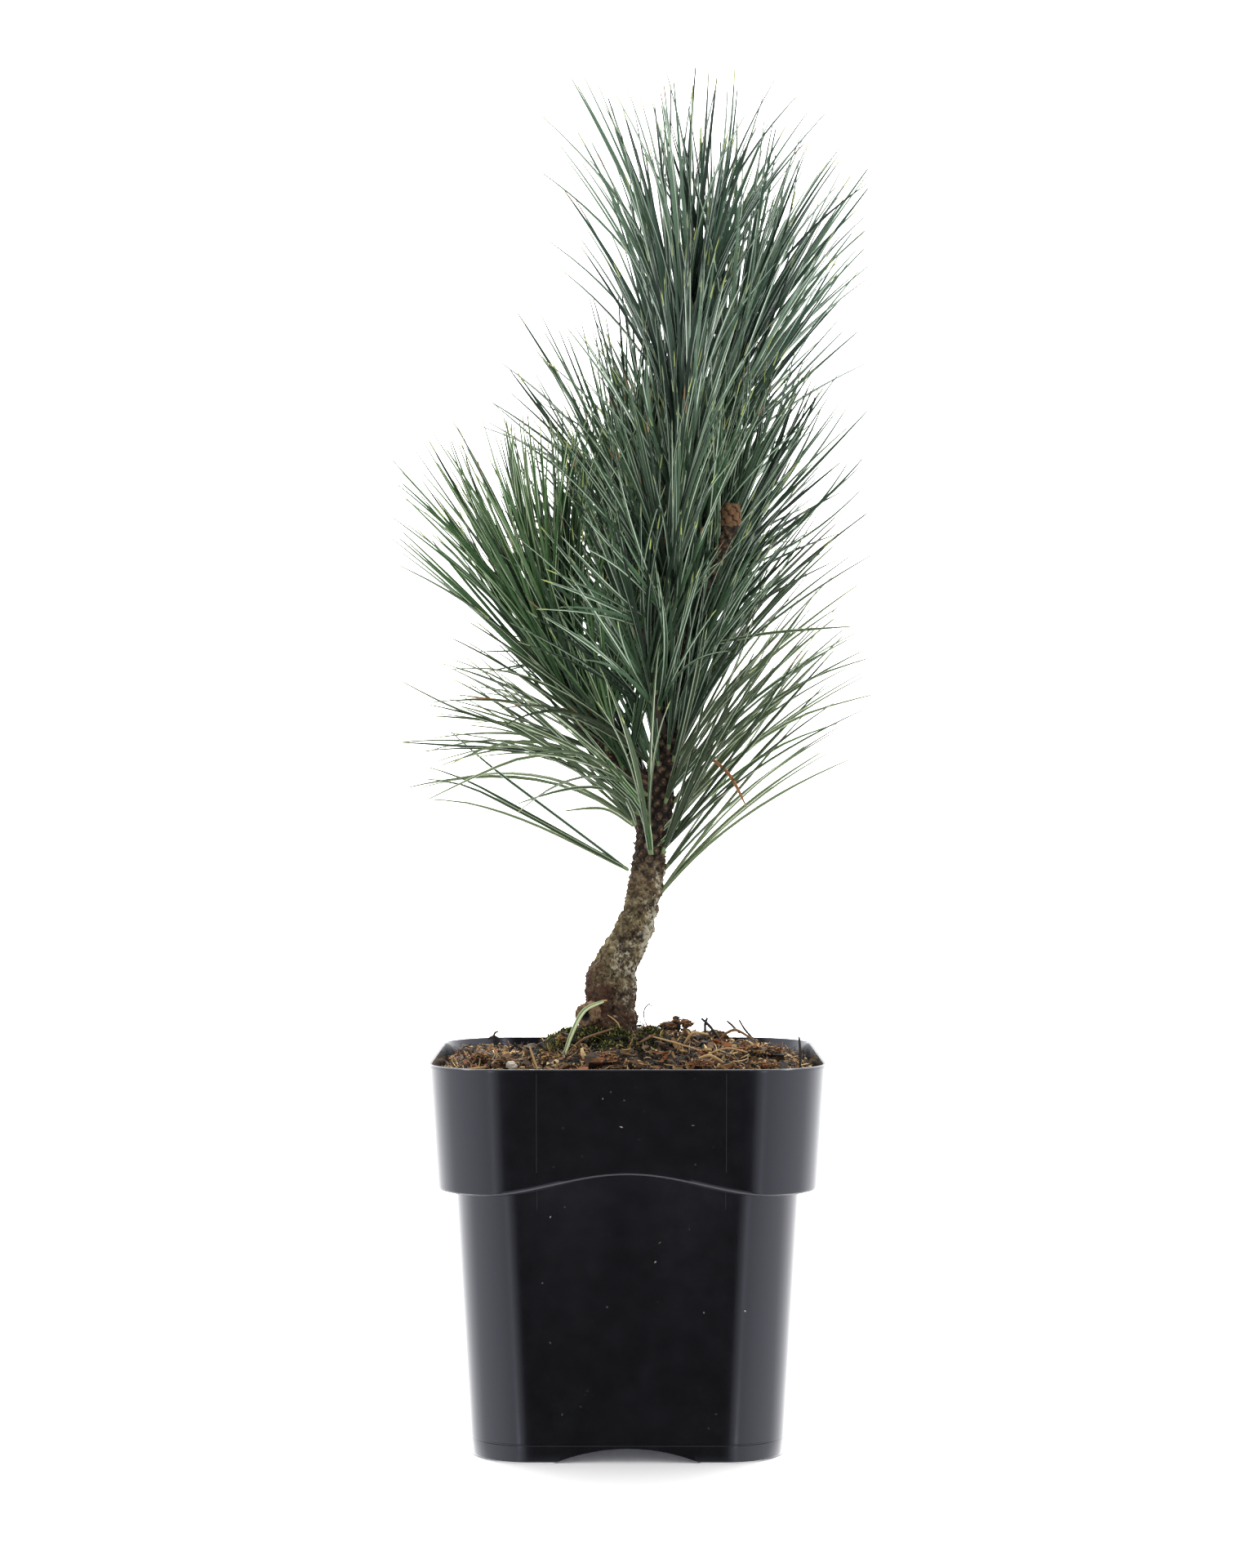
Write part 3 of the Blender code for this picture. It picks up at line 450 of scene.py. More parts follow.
def laid(points, x, y, lift, dice, tilt):
    """Turns a small shape at random and lays it on the ground at a place."""
    turn = Matrix.Rotation(dice.uniform(0, 2 * math.pi), 3, "Z")
    lean = Matrix.Rotation(dice.gauss(0, tilt), 3, "X") @ Matrix.Rotation(dice.gauss(0, tilt), 3, "Y")
    foot = Vector((x, y, ground(x, y) + lift))
    return [foot + turn @ (lean @ point) for point in points]


dice = random.Random(5)
chip_materials = []
for number, tint in enumerate(CHIP_TINTS):
    # Dry bark and splintered wood: dull, with a short grain along each chip.
    material, tree, shader = new_material(f"bark_chip_{number}", tint, 0.85)
    place = add_node(tree, "ShaderNodeTexCoord").outputs["Object"]
    grain = add_node(tree, "ShaderNodeTexNoise", {"Scale": 700.0, "Detail": 4.0}, {"Vector": place})
    bump = add_node(
        tree, "ShaderNodeBump", {"Strength": 0.6, "Distance": 0.0003}, {"Height": grain.outputs["Fac"]}
    )
    tree.links.new(bump.outputs[0], shader.inputs["Normal"])
    chip_materials.append(material)


def scatter(count, wall, bare, dice):
    """Random places on the ground, clear of the wall and of the stem and its moss."""
    found = []
    while len(found) < count:
        x, y = dice.uniform(-SOIL_HALF, SOIL_HALF), dice.uniform(-SOIL_HALF, SOIL_HALF)
        front = 0.66 if y < 0 else 1.0
        left = 0.8 if y < 0 and x / MM < MOUND_CENTRE.x else 1.0
        stem = math.hypot(left * (x / MM - MOUND_CENTRE.x), front * (y / MM - MOUND_CENTRE.y))
        if inside_square(x, y, SOIL_HALF, SOIL_CORNER) > wall and stem > bare * dice.uniform(0.8, 1.3):
            found.append((x, y))
    return found


# A ball of eighty small faces serves as the pattern for every clod and lump.
bpy.ops.mesh.primitive_ico_sphere_add(subdivisions=2, radius=1)
pattern = bpy.context.object.data
BALL = [vertex.co.copy() for vertex in pattern.vertices]
BALL_FACES = [tuple(face.vertices) for face in pattern.polygons]
bpy.ops.object.delete()


def lump(reach, rough, dice):
    """A ragged lump with its own reach in millimetres along each axis."""
    seat = Vector((dice.uniform(0, 90), dice.uniform(0, 90), dice.uniform(0, 90)))
    points = []
    for way in BALL:
        swell = 1 + rough * noise.noise(seat + way * 1.3) + 0.6 * rough * noise.noise(seat - way * 3.1)
        points.append(Vector((way.x * reach[0], way.y * reach[1], way.z * reach[2])) * swell * MM)
    return points


clods_store = ([], [], [])
for x, y in scatter(430, 2.5 * MM, 17, dice):
    size = dice.uniform(0.8, 2.6)
    reach = (size * dice.uniform(0.7, 1.3), size * dice.uniform(0.7, 1.3), size * dice.uniform(0.45, 0.9))
    points = laid(lump(reach, 0.7, dice), x, y, size * 0.25 * MM, dice, 0.5)
    add_shape(clods_store, points, BALL_FACES, 0)
    own = dice.choices(range(8), (6, 6, 4, 2, 1.2, 0.5, 2.2, 6))[0]
    clods_store[2][-len(BALL_FACES):] = [dice.choice((own, own, 0, 1, 7)) for _ in BALL_FACES]
# Lumps that can be told apart: place, reach along each axis, and tint.
LUMPS = (
    ((-8.4, -43, 129.8), (5.6, 4.5, 2.9), 6), ((-27.1, -43, 130.4), (1.4, 1.2, 2.3), 4),
    ((20.0, -2, 138.6), (1.9, 1.6, 1.5), 6), ((16.6, -1, 137.4), (1.4, 1.3, 4.2), 7),
    ((42.0, -22, 130.9), (2.6, 1.8, 2.4), 4), ((14.0, 2, 137.6), (3.0, 2.4, 1.6), 2),
    ((30.0, 0, 134.6), (3.4, 2.6, 1.9), 3), ((49.0, -14, 129.6), (3.4, 2.6, 2.6), 2),
    ((-40.0, -38, 128.6), (3.2, 2.6, 2.2), 3), ((-49.0, -22, 128.6), (3.0, 2.6, 2.4), 2),
    ((24.0, -44, 128.4), (3.4, 2.4, 2.0), 6), ((2.0, -46, 128.2), (3.0, 2.4, 2.2), 1),
    ((46.0, -42, 128.0), (3.2, 2.4, 2.0), 3), ((-21.0, -13, 134.6), (2.2, 2.0, 1.5), 3),
)
for place, reach, tint in LUMPS:
    points = [Vector(place) * MM + point for point in lump(reach, 0.9, dice)]
    add_shape(clods_store, points, BALL_FACES, tint)
    clods_store[2][-len(BALL_FACES):] = [dice.choice((tint, 2, 1, 0, 7)) for _ in BALL_FACES]
    for _ in range(int(44 * reach[0])):
        way = Vector((dice.gauss(0, 1), dice.gauss(0, 1), abs(dice.gauss(0, 1)))).normalized()
        seat = Vector(place) + Vector((way.x * reach[0], way.y * reach[1], way.z * reach[2])) * 0.95
        thread, faces = ribbon(dice.uniform(1.0, 3.4) * MM, dice.uniform(0.2, 0.6) * MM, 0.2 * MM, dice.gauss(0, 1.2), 4)
        turn = Matrix.Rotation(dice.uniform(0, 2 * math.pi), 3, "Z") @ Matrix.Rotation(dice.gauss(0, 0.6), 3, "X")
        add_shape(clods_store, [seat * MM + turn @ point for point in thread], faces, dice.choice((tint, 6, 3, 4, 2, 7)))
clods = joined_mesh("mulch_clods", *clods_store, chip_materials)
finish_piece(clods, 20)

crumbs_store = ([], [], [])
for x, y in scatter(3400, 0.5 * MM, 14, dice):
    size = dice.uniform(0.35, 1.1) * MM
    sides = dice.choice((5, 6))
    outline = []
    for k in range(sides):
        angle = 2 * math.pi * k / sides
        reach = size * dice.uniform(0.5, 1.1)
        outline.append((reach * math.cos(angle), reach * math.sin(angle)))
    points, faces = prism(outline, size * dice.uniform(0.6, 1.2))
    lifted = laid(points, x, y, dice.uniform(0.0, 1.6) * MM, dice, 0.8)
    add_shape(crumbs_store, lifted, faces, dice.choices(range(8), (7, 5, 2.5, 2, 1.8, 1.6, 2.2, 9))[0])
crumb_piece = joined_mesh("mulch_crumbs", *crumbs_store, chip_materials)
finish_piece(crumb_piece, 25)

chips_store = ([], [], [])
for x, y in scatter(290, 4 * MM, 21, dice):
    length = dice.uniform(0.9, 3.4) * MM
    width = length * dice.uniform(0.25, 0.6)
    sides = dice.choice((5, 6, 7))
    outline = []
    for k in range(sides):
        angle = 2 * math.pi * (k + dice.uniform(-0.25, 0.25)) / sides
        outline.append((length * math.cos(angle) * dice.uniform(0.75, 1), width * math.sin(angle)))
    points, faces = prism(outline, dice.uniform(0.3, 0.8) * MM)
    lifted = laid(points, x, y, dice.uniform(0.6, 2.6) * MM, dice, 0.6)
    add_shape(chips_store, lifted, faces, dice.choices(range(8), (3, 3, 3, 3.5, 4.5, 4, 4, 3))[0])
for x, y in scatter(130, 6 * MM, 24, dice):
    points, faces = ribbon(
        dice.uniform(3, 9) * MM, dice.uniform(0.5, 2.0) * MM, 0.4 * MM, dice.uniform(0.6, 3.0), 8
    )
    lifted = laid(points, x, y, dice.uniform(1.2, 3.2) * MM, dice, 0.6)
    add_shape(chips_store, lifted, faces, dice.choice((2, 3, 3, 4, 5, 6)))
chip_piece = joined_mesh("mulch_chips", *chips_store, chip_materials)
finish_piece(chip_piece, 25)

fibres_store = ([], [], [])
for x, y in scatter(4600, 2.0 * MM, 16, dice):
    points, faces = ribbon(
        dice.uniform(1.0, 6) * MM, dice.uniform(0.1, 0.4) * MM, dice.uniform(0.1, 0.25) * MM, dice.gauss(0, 1.1), 4
    )
    lifted = laid(points, x, y, dice.uniform(0.2, 3.2) * MM, dice, 0.5)
    add_shape(fibres_store, lifted, faces, dice.choices(range(8), (5, 4, 2.5, 3, 4, 3.4, 3, 4.5))[0])
fibre_piece = joined_mesh("mulch_fibres", *fibres_store, chip_materials)
finish_piece(fibre_piece, 40)

# Moss has grown on the mound to the left and in front of the stem, and a little to its
# right: cushions of short pointed leaves, olive at the tips and dark underneath.
# Place, reach, count of leaves and height of each cushion, in millimetres.
MOSS_CUSHIONS = (
    (-21, -8, 7, 1700, 3.4), (-14, -14, 8, 1900, 3.0), (-3, -17, 6, 1400, 2.8), (9, -12, 7, 1200, 2.4),
    (-6, -26, 7, 1000, 1.2), (13, -2, 6, 700, 1.8), (-26, 0, 6, 900, 2.0), (-4, 15, 9, 600, 1.5),
    (-15, 9, 7, 600, 1.5), (-26, -16, 6, 1400, 2.0), (4, -24, 5, 500, 1.0),
)
CUSHION_EDGE = 0.85
moss_materials = []
for number, tint in enumerate(("3b3d1e", "20220e", "76743b", "0e0f09")):
    material, tree, shader = new_material(f"moss_{number}", tint, 0.95)
    shader.inputs["Specular IOR Level"].default_value = 0.15
    moss_materials.append(material)
moss_store = ([], [], [])
for centre_x, centre_y, spread, count, swell in MOSS_CUSHIONS:
    seat = Vector((centre_x * MM, centre_y * MM, ground(centre_x * MM, centre_y * MM)))
    reach = (0.8 * spread, 0.8 * spread, 0.62 * swell)
    add_shape(moss_store, [seat + point for point in lump(reach, 0.3, dice)], BALL_FACES, 3)
    for _ in range(count):
        across, along = dice.gauss(0, 0.5), dice.gauss(0, 0.5)
        x, y = (centre_x + across * spread) * MM, (centre_y + along * spread) * MM
        if math.hypot(x / MM - MOUND_CENTRE.x, y / MM - MOUND_CENTRE.y) < 9.5:
            continue
        dome = swell * math.sqrt(max(0.0, 1 - (across**2 + along**2) / CUSHION_EDGE**2))
        foot = Vector((x, y, ground(x, y) + (dome + dice.uniform(-0.8, 0.7)) * MM))
        lean = Vector((dice.gauss(0, 0.7), dice.gauss(0, 0.7), 1)).normalized()
        tip = foot + lean * dice.uniform(0.5, 1.3) * MM
        ring = []
        for k in range(3):
            angle = 2 * math.pi * k / 3 + dice.uniform(0, 1)
            ring.append(foot + Vector((math.cos(angle), math.sin(angle), 0)) * 0.4 * MM)
        faces = [(0, 1, 3), (1, 2, 3), (2, 0, 3), (2, 1, 0)]
        weights = (3, 2, 4, 3) if centre_x < -20 else (3, 4, 2.4, 4)
        add_shape(moss_store, [*ring, tip], faces, dice.choices(range(4), weights)[0])
moss = joined_mesh("moss", *moss_store, moss_materials)
finish_piece(moss, 60)

# Loose litter that can be told apart: thin dead twigs, one of them upright at the right,
# a hair root, a pale stone, crumbs on the back rim, and a fallen pair of pale needles.
LITTER_TINTS = ("1a140e", "382a1c", "654627", "9c7f55", "7b8a66", "aeb58c", "aaa294")
# Tint, radius and the points of each, in millimetres.
LITTER = (
    (0, 0.45, ((56.5, -40, 127.0), (56.7, -40, 132.0), (56.3, -40, 137.6))),
    (0, 0.55, ((25.0, -6, 141.0), (27.6, -6, 138.6), (31.6, -6, 133.6))),
    (0, 0.5, ((27.1, -5, 141.2), (26.3, -5, 138.8), (26.4, -5, 135.0))),
    (1, 0.45, ((33.6, -6, 140.2), (35.4, -6, 138.6), (38.0, -7, 136.0))),
    (0, 0.4, ((37.8, -6, 140.5), (40.0, -6, 136.9), (43.0, -7, 133.8))),
    (2, 0.38, ((-19.6, -24, 131.0), (-14.5, -24, 135.5), (-4.5, -22, 138.8))),
    (3, 0.32, ((7.2, -22, 136.4), (15.9, -24, 134.2), (24.6, -25, 131.6))),
    (2, 0.42, ((3.0, -24, 133.6), (6.0, -23, 135.2), (9.4, -22, 137.0))),
    (3, 0.5, ((19.0, -20, 133.6), (21.0, -21, 136.6), (23.1, -21, 137.4), (27.0, -20, 136.6))),
    (3, 0.55, ((23.4, -36, 130.0), (27.3, -36, 130.9), (31.6, -36, 128.6))),
    (3, 0.32, ((25.0, -33, 130.4), (32.5, -34, 133.2), (39.6, -33, 131.8))),
    (2, 0.55, ((31.0, -11, 134.0), (33.6, -12, 136.6), (37.0, -12, 137.4), (42.6, -12, 134.0))),
    (3, 0.22, ((-6.7, -17, 143.0), (-3.2, -18, 140.2), (-2.1, -18, 136.0))),
    (3, 0.36, ((-31.8, -52, 135.4), (-30.4, -52, 131.2), (-29.0, -53, 127.6))),
    (2, 0.34, ((-14.0, -34, 129.5), (-6.0, -36, 132.2), (2.5, -37, 131.0))),
    (3, 0.4, ((-44.0, -34, 127.8), (-43.0, -34, 131.0), (-44.6, -34, 133.6))),
    (2, 0.25, ((6.9, 3, 137.0), (5.6, 3, 140.8), (5.9, 3, 143.6), (7.4, 3, 145.2), (8.3, 3, 144.4))),
    (0, 0.5, ((-49.5, 47, 129.8), (-47.6, 47, 130.6), (-45.6, 46, 129.9))),
    (1, 0.4, ((-47.8, 47, 129.7), (-47.2, 46, 131.8), (-45.8, 46, 132.6))),
    (4, 0.44, ((-21.6, -27, 129.5), (-18.8, -25, 137.6), (-14.8, -22, 145.0), (-8.2, -19, 147.9))),
    (5, 0.42, ((-21.0, -27.4, 129.5), (-18.0, -25.5, 137.8), (-14.1, -22.6, 144.6), (-8.0, -19.6, 147.5))),
    (3, 0.3, ((-8.8, -19.3, 147.6), (-7.8, -19.2, 147.9), (-6.8, -19, 148.0))),
)


def smooth_line(corners, parts):
    """A smooth line through corners, with some parts between each pair."""
    out = []
    for i in range(len(corners) - 1):
        before, low = corners[max(0, i - 1)], corners[i]
        high, after = corners[i + 1], corners[min(len(corners) - 1, i + 2)]
        for k in range(parts):
            t = k / parts
            bend_low, bend_high = (high - before) / 2, (after - low) / 2
            place = low * (2 * t**3 - 3 * t**2 + 1) + bend_low * (t**3 - 2 * t**2 + t)
            out.append(place + high * (3 * t**2 - 2 * t**3) + bend_high * (t**3 - t**2))
    return [*out, corners[-1]]


def frame_along(direction):
    """Two directions square to this one and to each other."""
    along = direction.normalized()
    side = along.cross(Vector((0, 1, 0)))
    if side.length < 0.2:
        side = along.cross(Vector((1, 0, 0)))
    side.normalize()
    return side, along.cross(side)


def add_tube(store, points, radii, sides, tint):
    """A closed tapering tube through the points."""
    first = len(store[0])
    for i, point in enumerate(points):
        side, up = frame_along(points[min(i + 1, len(points) - 1)] - points[max(i - 1, 0)])
        for k in range(sides):
            angle = 2 * math.pi * k / sides
            store[0].append(point + (side * math.cos(angle) + up * math.sin(angle)) * radii[i])
    for i in range(len(points) - 1):
        for k in range(sides):
            a, b = first + i * sides + k, first + i * sides + (k + 1) % sides
            store[1].append((a, b, b + sides, a + sides))
            store[2].append(tint)
    store[1].append(tuple(range(first + sides - 1, first - 1, -1)))
    top = first + (len(points) - 1) * sides
    store[1].append(tuple(range(top, top + sides)))
    store[2].extend([tint, tint])


litter_materials = []
for number, tint in enumerate(LITTER_TINTS):
    material, tree, shader = new_material(f"litter_{number}", tint, 0.75)
    litter_materials.append(material)
litter_store = ([], [], [])
for tint, radius, corners in LITTER:
    line = smooth_line([Vector(corner) * MM for corner in corners], 6)
    radii = []
    for k in range(len(line)):
        radii.append(radius * MM * (0.55 + 0.45 * math.sin(math.pi * (k + 1) / (len(line) + 1))))
    add_tube(litter_store, line, radii, 7, tint)
stone = Vector((-37.8, -50.0, 129.0)) * MM
add_shape(litter_store, [stone + point for point in lump((1.9, 1.5, 1.2), 0.7, dice)], BALL_FACES, 6)
litter = joined_mesh("litter", *litter_store, litter_materials)
finish_piece(litter, 45)

# The stem and its two bare boughs, in scaly young pine bark. The trunk leans right out of
# its flare and straightens; needle cushions and leaf scars roughen it higher up.
TRUNK_STATIONS = (
    (136.3, -6.7, 0.0, 10.0), (141.0, -6.3, 0.0, 9.3), (147.0, -5.8, 0.1, 8.3), (153.0, -5.6, 0.3, 8.5),
    (159.5, -3.6, 0.4, 7.2), (166.0, -0.3, 0.4, 6.4), (172.0, 2.6, 0.2, 6.4), (179.5, 4.8, 0.0, 5.6),
    (187.0, 6.4, -0.2, 5.8), (198.0, 7.8, -0.4, 5.2), (210.0, 9.2, -0.4, 5.9), (223.0, 11.5, -0.2, 5.0),
    (237.0, 13.8, 0.0, 4.6), (253.0, 15.8, 0.2, 4.1), (275.0, 16.9, 0.2, 3.5), (300.0, 17.6, 0.0, 3.0),
    (325.0, 18.5, 0.0, 2.6), (352.0, 19.0, 0.0, 2.2), (376.0, 19.3, 0.0, 1.6), (381.0, 19.4, 0.0, 0.5),
)
LEFT_BOUGH = (217, (-6.0, -1.5, 229.0), (-15.4, -4.0, 242.0), 3.5, 2.5)
RIGHT_BOUGH = (277, (26.5, -8.0, 284.0), (34.4, -15.0, 306.5), 2.6, 2.3)
KNOB_TIP = (35.2, -15.6, 314.6)
KNOB_RADIUS = 3.2
FLARE_TOP = 150
SCAR_PITCH = 0.34
GOLDEN_ANGLE = math.radians(137.508)

# The warp of the bark's scales follows this seed, and would follow the clock without it.
BARK_SEED = 5
noise.seed_set(BARK_SEED)


def station(height):
    """The trunk's middle and radius at a height in millimetres, read smoothly."""
    rows = TRUNK_STATIONS
    i = max(k for k in range(len(rows) - 1) if k == 0 or rows[k][0] <= height)
    before, low, high = rows[max(0, i - 1)], rows[i], rows[i + 1]
    after = rows[min(len(rows) - 1, i + 2)]
    span = high[0] - low[0]
    t = min(1.0, max(0.0, (height - low[0]) / span))
    out = []
    for column in (1, 2, 3):
        slope_low = (high[column] - before[column]) / (high[0] - before[0]) * span
        slope_high = (after[column] - low[column]) / (after[0] - low[0]) * span
        value = (2 * t**3 - 3 * t**2 + 1) * low[column] + (t**3 - 2 * t**2 + t) * slope_low
        value += (3 * t**2 - 2 * t**3) * high[column] + (t**3 - t**2) * slope_high
        out.append(value)
    return Vector((out[0], out[1], height)) * MM, out[2] * MM


def sweep(start, bend, end, parts):
    """Points on one smooth bow from start to end, drawn towards bend."""
    points = []
    for k in range(parts + 1):
        t = k / parts
        points.append(start * (1 - t) ** 2 + bend * 2 * t * (1 - t) + end * t**2)
    return points


def read_line(points, values, share):
    """A place and a value at a share of the way along a line of points."""
    place = min(max(share, 0.0), 1.0) * (len(points) - 1)
    k = min(int(place), len(points) - 2)
    value = values[k] + (values[k + 1] - values[k]) * (place - k)
    return points[k].lerp(points[k + 1], place - k), value, (points[k + 1] - points[k]).normalized()


def bark_relief(point, angle, height, scars):
    """Bark at a place: its relief in metres, how deep a crack, and how much of a scar."""
    place = point / MM
    warp = noise.noise_vector(place / 2.4) * 1.5 + noise.noise_vector(place / 0.9) * 0.35
    cell = Vector(((place.x + warp.x) / 1.9, (place.y + warp.y) / 1.9, (place.z + warp.z) / 2.0))
    distances, centres = noise.voronoi(cell)
    edge = min(1.0, (distances[1] - distances[0]) * 3.2)
    scale = abs(noise.cell(centres[0] * 7.3))
    ledge = (place.z + 1.9 * noise.noise(place / 3.7) + 0.6 * noise.noise(place / 1.1)) / 2.3 % 1.0
    lumps = noise.fractal(place / 5.0, 0.75, 2.1, 5)
    grit = noise.noise(place / 0.75)
    relief = 0.7 * edge * (0.25 + 0.75 * scale) + 1.0 * lumps + 0.3 * (1 - ledge) + 0.3 * grit - 0.55
    crack = (1 - edge) * 0.55 + 0.8 * max(0.0, -0.15 - lumps - 0.3 * grit) + 0.35 * max(0.0, ledge - 0.75)
    if scars:
        best = 0.0
        row = int(height / SCAR_PITCH)
        for k in range(row - 11, row + 12):
            turn = (k * GOLDEN_ANGLE - angle + math.pi) % (2 * math.pi) - math.pi
            away = math.hypot(turn * scars, height - k * SCAR_PITCH)
            best = max(best, 1 - away / 1.55)
        share = min(1.0, scars / 3)
        relief = relief * (1 - 0.5 * share) + share * (1.05 * min(best, 0.62) - 0.1)
        crack = crack * (1 - share) + share * max(0.0, 1 - best * 3.2)
        return relief * MM, crack, share * max(0.0, best * 3.4 - 2.2)
    return relief * MM, crack, 0.0


def bark_limb(name, points, radii, sides, rings, scars_from, relief_share):
    """A limb of bark: a cylinder cut into rings and moved out to its line and relief."""
    bpy.ops.mesh.primitive_cylinder_add(vertices=sides, radius=0.5, depth=1, location=(0, 0, 0.5))
    limb = start_piece(name)
    pick(limb, "EDGE", lambda edge: abs(edge.verts[0].co.z - edge.verts[1].co.z) > 0.5)
    bpy.ops.mesh.subdivide(number_cuts=99)
    pick(limb, "EDGE", lambda edge: abs(edge.verts[0].co.z - edge.verts[1].co.z) > 0.001)
    bpy.ops.mesh.subdivide(number_cuts=rings // 100 - 1)
    bpy.ops.object.mode_set(mode="OBJECT")
    marks = {"crack": [], "scar": [], "lichen_and_painted_highlight": [], "rust": []}
    for vertex in limb.data.vertices:
        centre, radius, along = read_line(points, radii, vertex.co.z)
        side, up = frame_along(along)
        angle = math.atan2(vertex.co.y, vertex.co.x)
        out = side * math.cos(angle) + up * math.sin(angle)
        surface = centre + out * radius
        high = surface.z / MM
        lobes = max(0.0, (FLARE_TOP - high) / (FLARE_TOP - 134))
        surface += out * radius * 0.1 * lobes * math.cos(4 * angle + 1.9)
        scars = radius / MM * min(1.0, max(0.0, (high - scars_from) / 14))
        relief, crack, scar = bark_relief(surface, angle, high, scars)
        vertex.co = surface + out * relief * relief_share
        marks["crack"].append(crack)
        marks["scar"].append(scar)
        blotch = noise.noise(surface / (6 * MM))
        # Pale lichen near 166 mm up; its lean to the right (+X) side is painted highlight.
        marks["lichen_and_painted_highlight"].append(0.6 * out.x - 0.1 * out.y + 0.7 * blotch - abs(high - 166) / 40)
        marks["rust"].append(0.7 * noise.noise(surface / (5 * MM)) - 0.3 * out.x + (156 - high) / 13)
    for mark, values in marks.items():
        limb.data.attributes.new(mark, "FLOAT", "POINT").data.foreach_set("value", values)
    return limb


# Pine bark grown in scales: grey brown plates over reddish cracks, darker and greener
# towards the crown, with pale lichen low down; its lean to the right (+X) side is painted highlight.
bark, tree, shader = new_material("scaly_pine_bark", "4e4437", 0.92)
shader.inputs["Specular IOR Level"].default_value = 0.25
place = add_node(tree, "ShaderNodeTexCoord").outputs["Object"]
layers = add_node(
    tree, "ShaderNodeVectorMath", {"operation": "MULTIPLY", 1: (1.0, 1.0, 1.1)}, {0: place}
)
grain = add_node(
    tree, "ShaderNodeTexNoise", {"Scale": 1 / (2.2 * MM), "Detail": 9.0, "Roughness": 0.72}, {"Vector": layers.outputs[0]}
)
plates = add_node(
    tree, "ShaderNodeTexNoise", {"Scale": 1 / (4 * MM), "Detail": 10.0, "Roughness": 0.8}, {"Vector": layers.outputs[0]}
)
LOWER_BARK = ((0.39, "1e170f"), (0.46, "3f3524"), (0.51, "63573d"), (0.56, "7c7055"), (0.63, "988d70"))
UPPER_BARK = ((0.38, "120e0a"), (0.48, "29201a"), (0.55, "41352a"), (0.64, "685844"))
ramps = []
for source, stops in ((plates, LOWER_BARK), (grain, UPPER_BARK)):
    ramp = add_node(tree, "ShaderNodeValToRGB", None, {"Fac": source.outputs["Fac"]})
    for position, colour in stops:
        stop = ramp.color_ramp.elements.new(position)
        stop.color = linear(colour)
    ramp.color_ramp.elements.remove(ramp.color_ramp.elements[0])
    ramp.color_ramp.elements.remove(ramp.color_ramp.elements[-1])
    ramps.append(ramp.outputs[0])
split = add_node(tree, "ShaderNodeSeparateXYZ", None, {"Vector": place})
climb = add_node(
    tree, "ShaderNodeMapRange", {"From Min": 0.176, "From Max": 0.2}, {"Value": split.outputs["Z"]}
)
by_height = add_node(
    tree, "ShaderNodeMix", {"data_type": "RGBA"}, {0: climb.outputs[0], 6: ramps[0], 7: ramps[1]}
)


def tinted(before, mark, low, high, most, colour, fray=0.0):
    """Lays a colour over the bark where a mark, frayed by the grain, runs from low to high."""
    value = add_node(tree, "ShaderNodeAttribute", {"attribute_name": mark})
    frayed = add_node(
        tree, "ShaderNodeMath", {"operation": "MULTIPLY_ADD", 1: fray}, {0: grain.outputs["Fac"], 2: value.outputs["Fac"]}
    )
    share = add_node(
        tree, "ShaderNodeMapRange", {"From Min": low, "From Max": high, "To Max": most}, {"Value": frayed.outputs[0]}
    )
    mix = add_node(tree, "ShaderNodeMix", {"data_type": "RGBA"}, {0: share.outputs[0], 6: before})
    mix.inputs[7].default_value = linear(colour)
    return mix.outputs[2]


skin = tinted(by_height.outputs[2], "rust", 1.3, 2.1, 0.85, "3a2117", 3.0)
skin = tinted(skin, "lichen_and_painted_highlight", 2.7, 3.05, 0.75, "a9a493", 5.0)
skin = tinted(skin, "crack", 0.3, 0.9, 0.9, "120c07")
skin = tinted(skin, "scar", 0.0, 0.7, 0.7, "75573b")
tree.links.new(skin, shader.inputs["Base Color"])
bump = add_node(
    tree, "ShaderNodeBump", {"Strength": 1.0, "Distance": 0.0006}, {"Height": grain.outputs["Fac"]}
)
tree.links.new(bump.outputs[0], shader.inputs["Normal"])

trunk_points, trunk_radii = [], []
for k in range(121):
    height = 130 + (381 - 130) * k / 120
    centre, radius = station(max(height, TRUNK_STATIONS[0][0]))
    trunk_points.append(Vector((centre.x, centre.y, height * MM)))
    trunk_radii.append(radius)
trunk = bark_limb("trunk_bark", trunk_points, trunk_radii, 110, 600, 182, 1.0)
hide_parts("trunk")
finish_piece(trunk, 80, bark)
bough_lines = {}
for name, (root, bend, tip, first, last) in (("left_bough", LEFT_BOUGH), ("right_bough", RIGHT_BOUGH)):
    points = sweep(station(root)[0], Vector(bend) * MM, Vector(tip) * MM, 12)
    radii = [(first + (last - first) * k / 12) * MM for k in range(13)]
    bough_lines[name] = (list(points), list(radii))
    if name == "right_bough":
        knob = Vector(KNOB_TIP) * MM
        points += [points[-1].lerp(knob, share) for share in (0.25, 0.6, 1.0)]
        radii += [KNOB_RADIUS * 0.95 * MM, KNOB_RADIUS * MM, KNOB_RADIUS * 0.8 * MM]
    limb = bark_limb(name + "_bark", points, radii, 56, 200, 190, 0.8)
    if name == "right_bough":
        # The knob of old bud scales at its tip is bare and tawny.
        marks = limb.data.attributes["scar"].data
        cracks = limb.data.attributes["crack"].data
        for vertex, mark, crack in zip(limb.data.vertices, marks, cracks):
            if vertex.co.z > 307 * MM:
                mark.value = 0.8 - crack.value
    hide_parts(name)
    finish_piece(limb, 80, bark)

